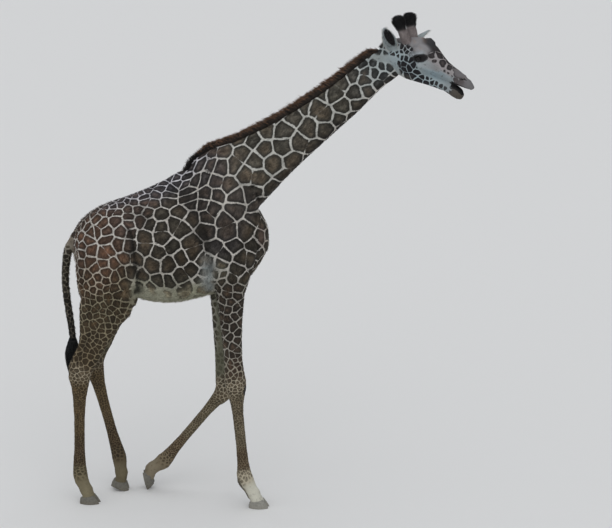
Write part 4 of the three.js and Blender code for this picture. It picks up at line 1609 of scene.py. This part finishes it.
def addEye(side, word, material):
    centre, out, front, up = eyeFrame(side)
    bm = bmesh.new()
    bmesh.ops.create_uvsphere(bm, u_segments=48, v_segments=32, radius=1)
    spots = np.empty((len(bm.verts), 3))
    for k, vert in enumerate(bm.verts):
        spots[k] = vert.co
        lift = 1 + eyes["bulge"] * max(0, (vert.co.z - 0.72) / 0.28) ** 1.2
        x, y, z = vert.co * (eyes["radius"] * lift)
        vert.co = onHead(*(centre + front * x + up * y + out * z))
    bmesh.ops.recalc_face_normals(bm, faces=bm.faces)
    mesh = meshOf(bm, "eyeball_" + word)
    store(mesh, "POINT", {"eyeSpot": spots})
    addPiece("eyeball_" + word, mesh, material, ["eye_" + word])


def addEyes():
    material = eyePaint()
    for side, word in zip(bothSides, ("left", "right")):
        addEye(side, word, material)


# the lashes, in millimetres and degrees
lashes = {
    "seed": 41, "count": 72, "long": (15, 24), "from": -58, "to": 56, "wide": 0.6, "thick": 0.5,
    "dark": (12, 12, 13), "light": (20, 19, 19),
}


def addLashes(side, rng):
    # upper lashes stand out and droop a little
    centre, out, front, up = (np.array(v) for v in eyeFrame(side))
    count = lashes["count"]
    turn = np.radians(np.linspace(lashes["from"], lashes["to"], count) + rng.normal(0, 1.2, count))
    edge = eyes["upper"] * np.sqrt(1 - (turn / math.radians(eyes["corner"])) ** 2)
    lift = np.radians(edge + rng.uniform(0, 7, count))
    ray = (out * np.cos(turn)[:, None] + front * np.sin(turn)[:, None]) * np.cos(lift)[:, None]
    ray = ray + up * np.sin(lift)[:, None]
    start = centre + ray * (eyes["lidOuter"] - 1.5)
    long = rng.uniform(*lashes["long"], count)[:, None]
    bend = start + (ray * 0.6 + out * 0.2) * long
    end = start + (ray * 0.55 + out * 0.45 - up * 0.35 - front * 0.08) * long
    return start, bend, end, np.tile(up, (count, 1))


def toFrame(places, point=True):
    turn = np.array(headPlace)
    return places / 1000 @ turn[:3, :3].T + (turn[:3, 3] if point else 0)


def growLashes():
    rng = np.random.default_rng(lashes["seed"])
    material = hairPaint("lashPaint", lashes["dark"], lashes["light"])
    both = [addLashes(side, rng) for side in bothSides]
    start, bend, end, out = (np.concatenate(values) for values in zip(*both))
    count = len(start)
    hair = {
        "start": toFrame(start), "middle": toFrame(bend), "end": toFrame(end),
        "out": unit(toFrame(out, False)),
        "wide": np.full(count, lashes["wide"] / 1000), "thick": np.full(count, lashes["thick"] / 1000),
        "map": np.stack([np.linspace(0.02, 0.98, count), rng.uniform(0.02, 0.98, count)], axis=1),
    }
    growLocks("lashes", material, lockShape(3, 4), hair, {"tone": rng.random(count)})


# ossicones: long is in millimetres, blackFrom a share of the height, the rest in metres
horns = {
    "seed": 51, "voxel": 0.0042, "blackFrom": 0.58, "hairs": 1500, "stout": 0.009,
    "dark": (98, 89, 87), "light": (134, 125, 123), "black": (27, 27, 29),
    "kinds": {
        "Tuft": {
            "long": 25, "wide": 0.0021, "up": 0.9, "out": 0.75,
            "dark": (20, 20, 22), "light": (34, 33, 33),
        },
        "Hair": {
            "long": 9, "wide": 0.0012, "up": 0.8, "out": 0.12,
            "dark": (84, 74, 72), "light": (124, 112, 108),
        },
    },
}


def hornPaint():
    board = Board("ossiconePaint")
    where = board.node("ShaderNodeTexCoord", out="Object")
    rise = board.attribute("rise")
    broad, fine = board.noise(where, 24.0, 3.0), board.noise(where, 260.0, 3.0)
    skinTone = board.mix(broad.step(0.3, 0.7), linear(*horns["dark"]), linear(*horns["light"]))
    colour = board.mix((rise + 0.16 * (broad - 0.5)).step(0.5, 0.66), skinTone, linear(*horns["black"]))
    colour = board.shaded(colour, 0.8 + 0.4 * fine)
    normal = board.bump(fine * 0.5 + broad * 0.5, 0.003, 0.6)
    return board.finish(Base_Color=colour, Roughness=0.75, Normal=normal)


def addHorn(word, material, paints, rng):
    node = "ossicone_" + word
    mesh = meshOf(voxelSkin(cadCopy(node), horns["voxel"]), "horn_" + word)
    relax(mesh, 4)
    head = inHeadFrame(placeOf(mesh))
    low, high = hornEnds(head)
    axis = (high - low) / np.linalg.norm(high - low)
    share = (head - low) @ axis
    share = (share - share.min()) / np.ptp(share)
    normals = unit(normalsOf(mesh))
    stout = horns["stout"] * np.sin(np.pi * np.clip(share / 0.8, 0, 1)) ** 2
    setPlace(mesh, placeOf(mesh) + normals * stout[:, None])
    store(mesh, "POINT", {"rise": share})
    places, normals = placeOf(mesh), unit(normalsOf(mesh))
    addPiece("horn_" + word, mesh, material, [node])
    way = unit(np.array(headPlace.to_3x3()) @ axis)
    for kind, density in (
        ("Tuft", softEdge(share, horns["blackFrom"] - 0.08, horns["blackFrom"] + 0.15)),
        ("Hair", 1 - softEdge(share, 0.42, 0.68)),
    ):
        own, count = horns["kinds"][kind], horns["hairs"] // 1
        picked = scatter(mesh, count, rng, density)
        roots, out = blended(places, *picked), unit(blended(normals, *picked))
        near = blended(share, *picked)
        long = own["long"] / 1000 * rng.uniform(0.6, 1.25, count)
        if kind == "Tuft":
            long = long * np.interp(near, (0.5, 0.8), (0.5, 1)) * (1 - 0.6 * softEdge(out @ way, 0.3, 0.9))
        aim = unit(way * own["up"] + out * own["out"] + rng.normal(0, 0.12, roots.shape))
        wide = own["wide"] * rng.uniform(0.7, 1.3, count)
        spin = np.arctan2(out @ np.cross(way, (0, 0.3, 1)), out @ np.cross(way, (1, 0, 0.2)))
        spin = spin / (2 * math.pi) + 0.5
        start = roots - out * 0.001
        hair = {
            "start": start, "middle": start + (aim * 0.4 + out * 0.12) * long[:, None],
            "end": start + aim * long[:, None], "out": out, "wide": wide, "thick": wide * 0.5,
            "map": np.stack([0.01 + 0.98 * spin, onMap(near)], axis=1),
        }
        tone = {"tone": rng.random(count)}
        growLocks(f"horn{kind}_{word}", paints[kind], lockShape(3, 2), hair, tone)


def growHorns():
    rng = np.random.default_rng(horns["seed"])
    material = hornPaint()
    paints = {
        kind: hairPaint(f"ossicone{kind}Paint", own["dark"], own["light"])
        for kind, own in horns["kinds"].items()
    }
    for word in ("left", "right"):
        addHorn(word, material, paints, rng)


# hooves, in metres
hooves = {
    "voxel": 0.0034, "ringGap": 0.0075, "sole": 0.003, "dark": (74, 72, 66), "light": (124, 121, 110),
    "dust": (112, 102, 86), "wash": (166, 164, 156), "pale": "foreRight",
}


def hoofPaint():
    board = Board("hoofPaint")
    where = board.node("ShaderNodeTexCoord", out="Object")
    band = board.attribute("band")
    wander = board.noise(where, 30.0, 2.0)
    ridge = ((band / hooves["ringGap"] + wander * 1.6) * 6.283).math("SINE")
    grit = board.noise(where, 220.0, 3.0)
    streak = board.noise(where, 70.0, 2.0)
    blend = (0.5 + 0.07 * ridge + 1.1 * (streak - 0.5)).clamped()
    colour = board.mix(blend, linear(*hooves["dark"]), linear(*hooves["light"]))
    dust = board.parts(where)[2].step(0.05, 0.0)
    colour = board.mix(dust * 0.35, colour, linear(*hooves["dust"]))
    colour = board.mix(board.attribute("wash") * (0.25 + 0.5 * streak), colour, linear(*hooves["wash"]))
    normal = board.bump(ridge * 0.16 + grit * 0.84, 0.0012, 0.6)
    return board.finish(Base_Color=colour, Roughness=0.5 + 0.3 * grit, Normal=normal)


def addHooves():
    material = hoofPaint()
    for leg, (word, lift) in feet.items():
        up = Vector((math.sin(math.radians(lift)), 0, math.cos(math.radians(lift))))
        for claw in ("left", "right"):
            node = f"{word}_{claw}_claw"
            mesh = meshOf(voxelSkin(cadCopy(node), hooves["voxel"]), "hoof_" + node[5:])
            places = placeOf(mesh)
            melt(mesh, np.ones(len(places)), 2)
            places = placeOf(mesh)
            places[:, 2] = np.where(places[:, 2] < hooves["sole"], 0, places[:, 2])
            setPlace(mesh, places)
            wash = np.full(len(places), float(leg == hooves["pale"]))
            store(mesh, "POINT", {"band": places @ np.array(up), "wash": wash})
            addPiece(node.replace("hoof_", "claw_"), mesh, material, [node])


# the hairs of the ears, in millimetres
earHair = {
    "seed": 61, "wide": 1.1, "thick": 0.5,
    "kinds": {
        "Fringe": {
            "count": 420, "along": (0.06, 0.97), "long": (13, 23), "swing": 0.15,
            "dark": (150, 152, 150), "light": (206, 204, 198), "blend": (0.0, 0.8),
        },
        "Hair": {
            "count": 260, "along": (0.12, 0.8), "long": (14, 26), "swing": 0.2,
            "dark": (40, 40, 42), "light": (70, 68, 66), "blend": (0.4, 1.0),
        },
    },
}


def growEars():
    rng = np.random.default_rng(earHair["seed"])
    paints = {
        kind: hairPaint(f"ear{kind}Paint", own["dark"], own["light"], *own["blend"])
        for kind, own in earHair["kinds"].items()
    }
    for side, word in zip(bothSides, ("left", "right")):
        root, along, face, across = (np.array(v) for v in earFrame(side))
        for kind, paint in paints.items():
            own = earHair["kinds"][kind]
            count, onRim = own["count"], kind == "Fringe"
            t = rng.uniform(*own["along"], count)
            edge = rng.choice((-1, 1), count) * (0.8 if onRim else rng.uniform(0, 0.55, count))
            most, bend = earCurl(t)
            roll = most * edge
            deep = bend * (np.cos(roll) - 1) + ears["bowed"] * ears["length"] * np.sin(np.pi * t)
            start = root + along * (ears["length"] * t)[:, None] + across * (bend * np.sin(roll))[:, None]
            start = start - face * deep[:, None]
            outward = across * (np.cos(roll) * np.sign(edge))[:, None] + face * np.abs(np.sin(roll))[:, None]
            aim = outward * 0.7 + along * 0.8 if onRim else face * 0.55 + along * 0.9
            aim = unit(aim + rng.normal(0, own["swing"], start.shape))
            long = rng.uniform(*own["long"], count)[:, None]
            hair = {
                "start": toFrame(start), "middle": toFrame(start + aim * long * 0.5),
                "end": toFrame(start + (aim * 0.9 + along * 0.25) * long),
                "out": unit(toFrame(np.tile(face, (count, 1)), False)),
                "wide": np.full(count, earHair["wide"] / 1000),
                "thick": np.full(count, earHair["thick"] / 1000),
                "map": np.stack([0.01 + 0.98 * t, onMap(edge)], axis=1),
            }
            tone = {"tone": rng.random(count)}
            growLocks(f"ear{kind}_{word}", paint, lockShape(3, 3), hair, tone)


makeCamera()
skinMesh, fold = makeSkin()
print("skin", len(skinMesh.polygons), "faces")
field = Field()
around = field.sample(placeOf(skinMesh))
# how deep each place lies in a crease, for the painted shade there
around["fold"] = fold
# bare dark skin with painted shade in hollows, and painted highlights over the eyes
around["darkSkinAndShade"], around["browHighlight"] = darkSkinShadeAndHighlight(placeOf(skinMesh), unit(normalsOf(skinMesh)))
seeds = plantSeeds(skinMesh, around)
print("patches", len(seeds))
markMesh(skinMesh, around, seeds)
coatMaterial = paintCoat()
addPiece("skin", skinMesh, coatMaterial, [*bodyNodes, "head", "ear_left", "ear_right"])
growCoat(skinMesh, around, seeds, coatMaterial)
growMane()
growTail()
print("mane and tail tuft made")
addEyes()
growLashes()
print("eyes made")
growHorns()
print("ossicones made")
addHooves()
print("hooves made")
growEars()
print("ears made")
makeLights()
makeFloor()
print("lights and floor made")
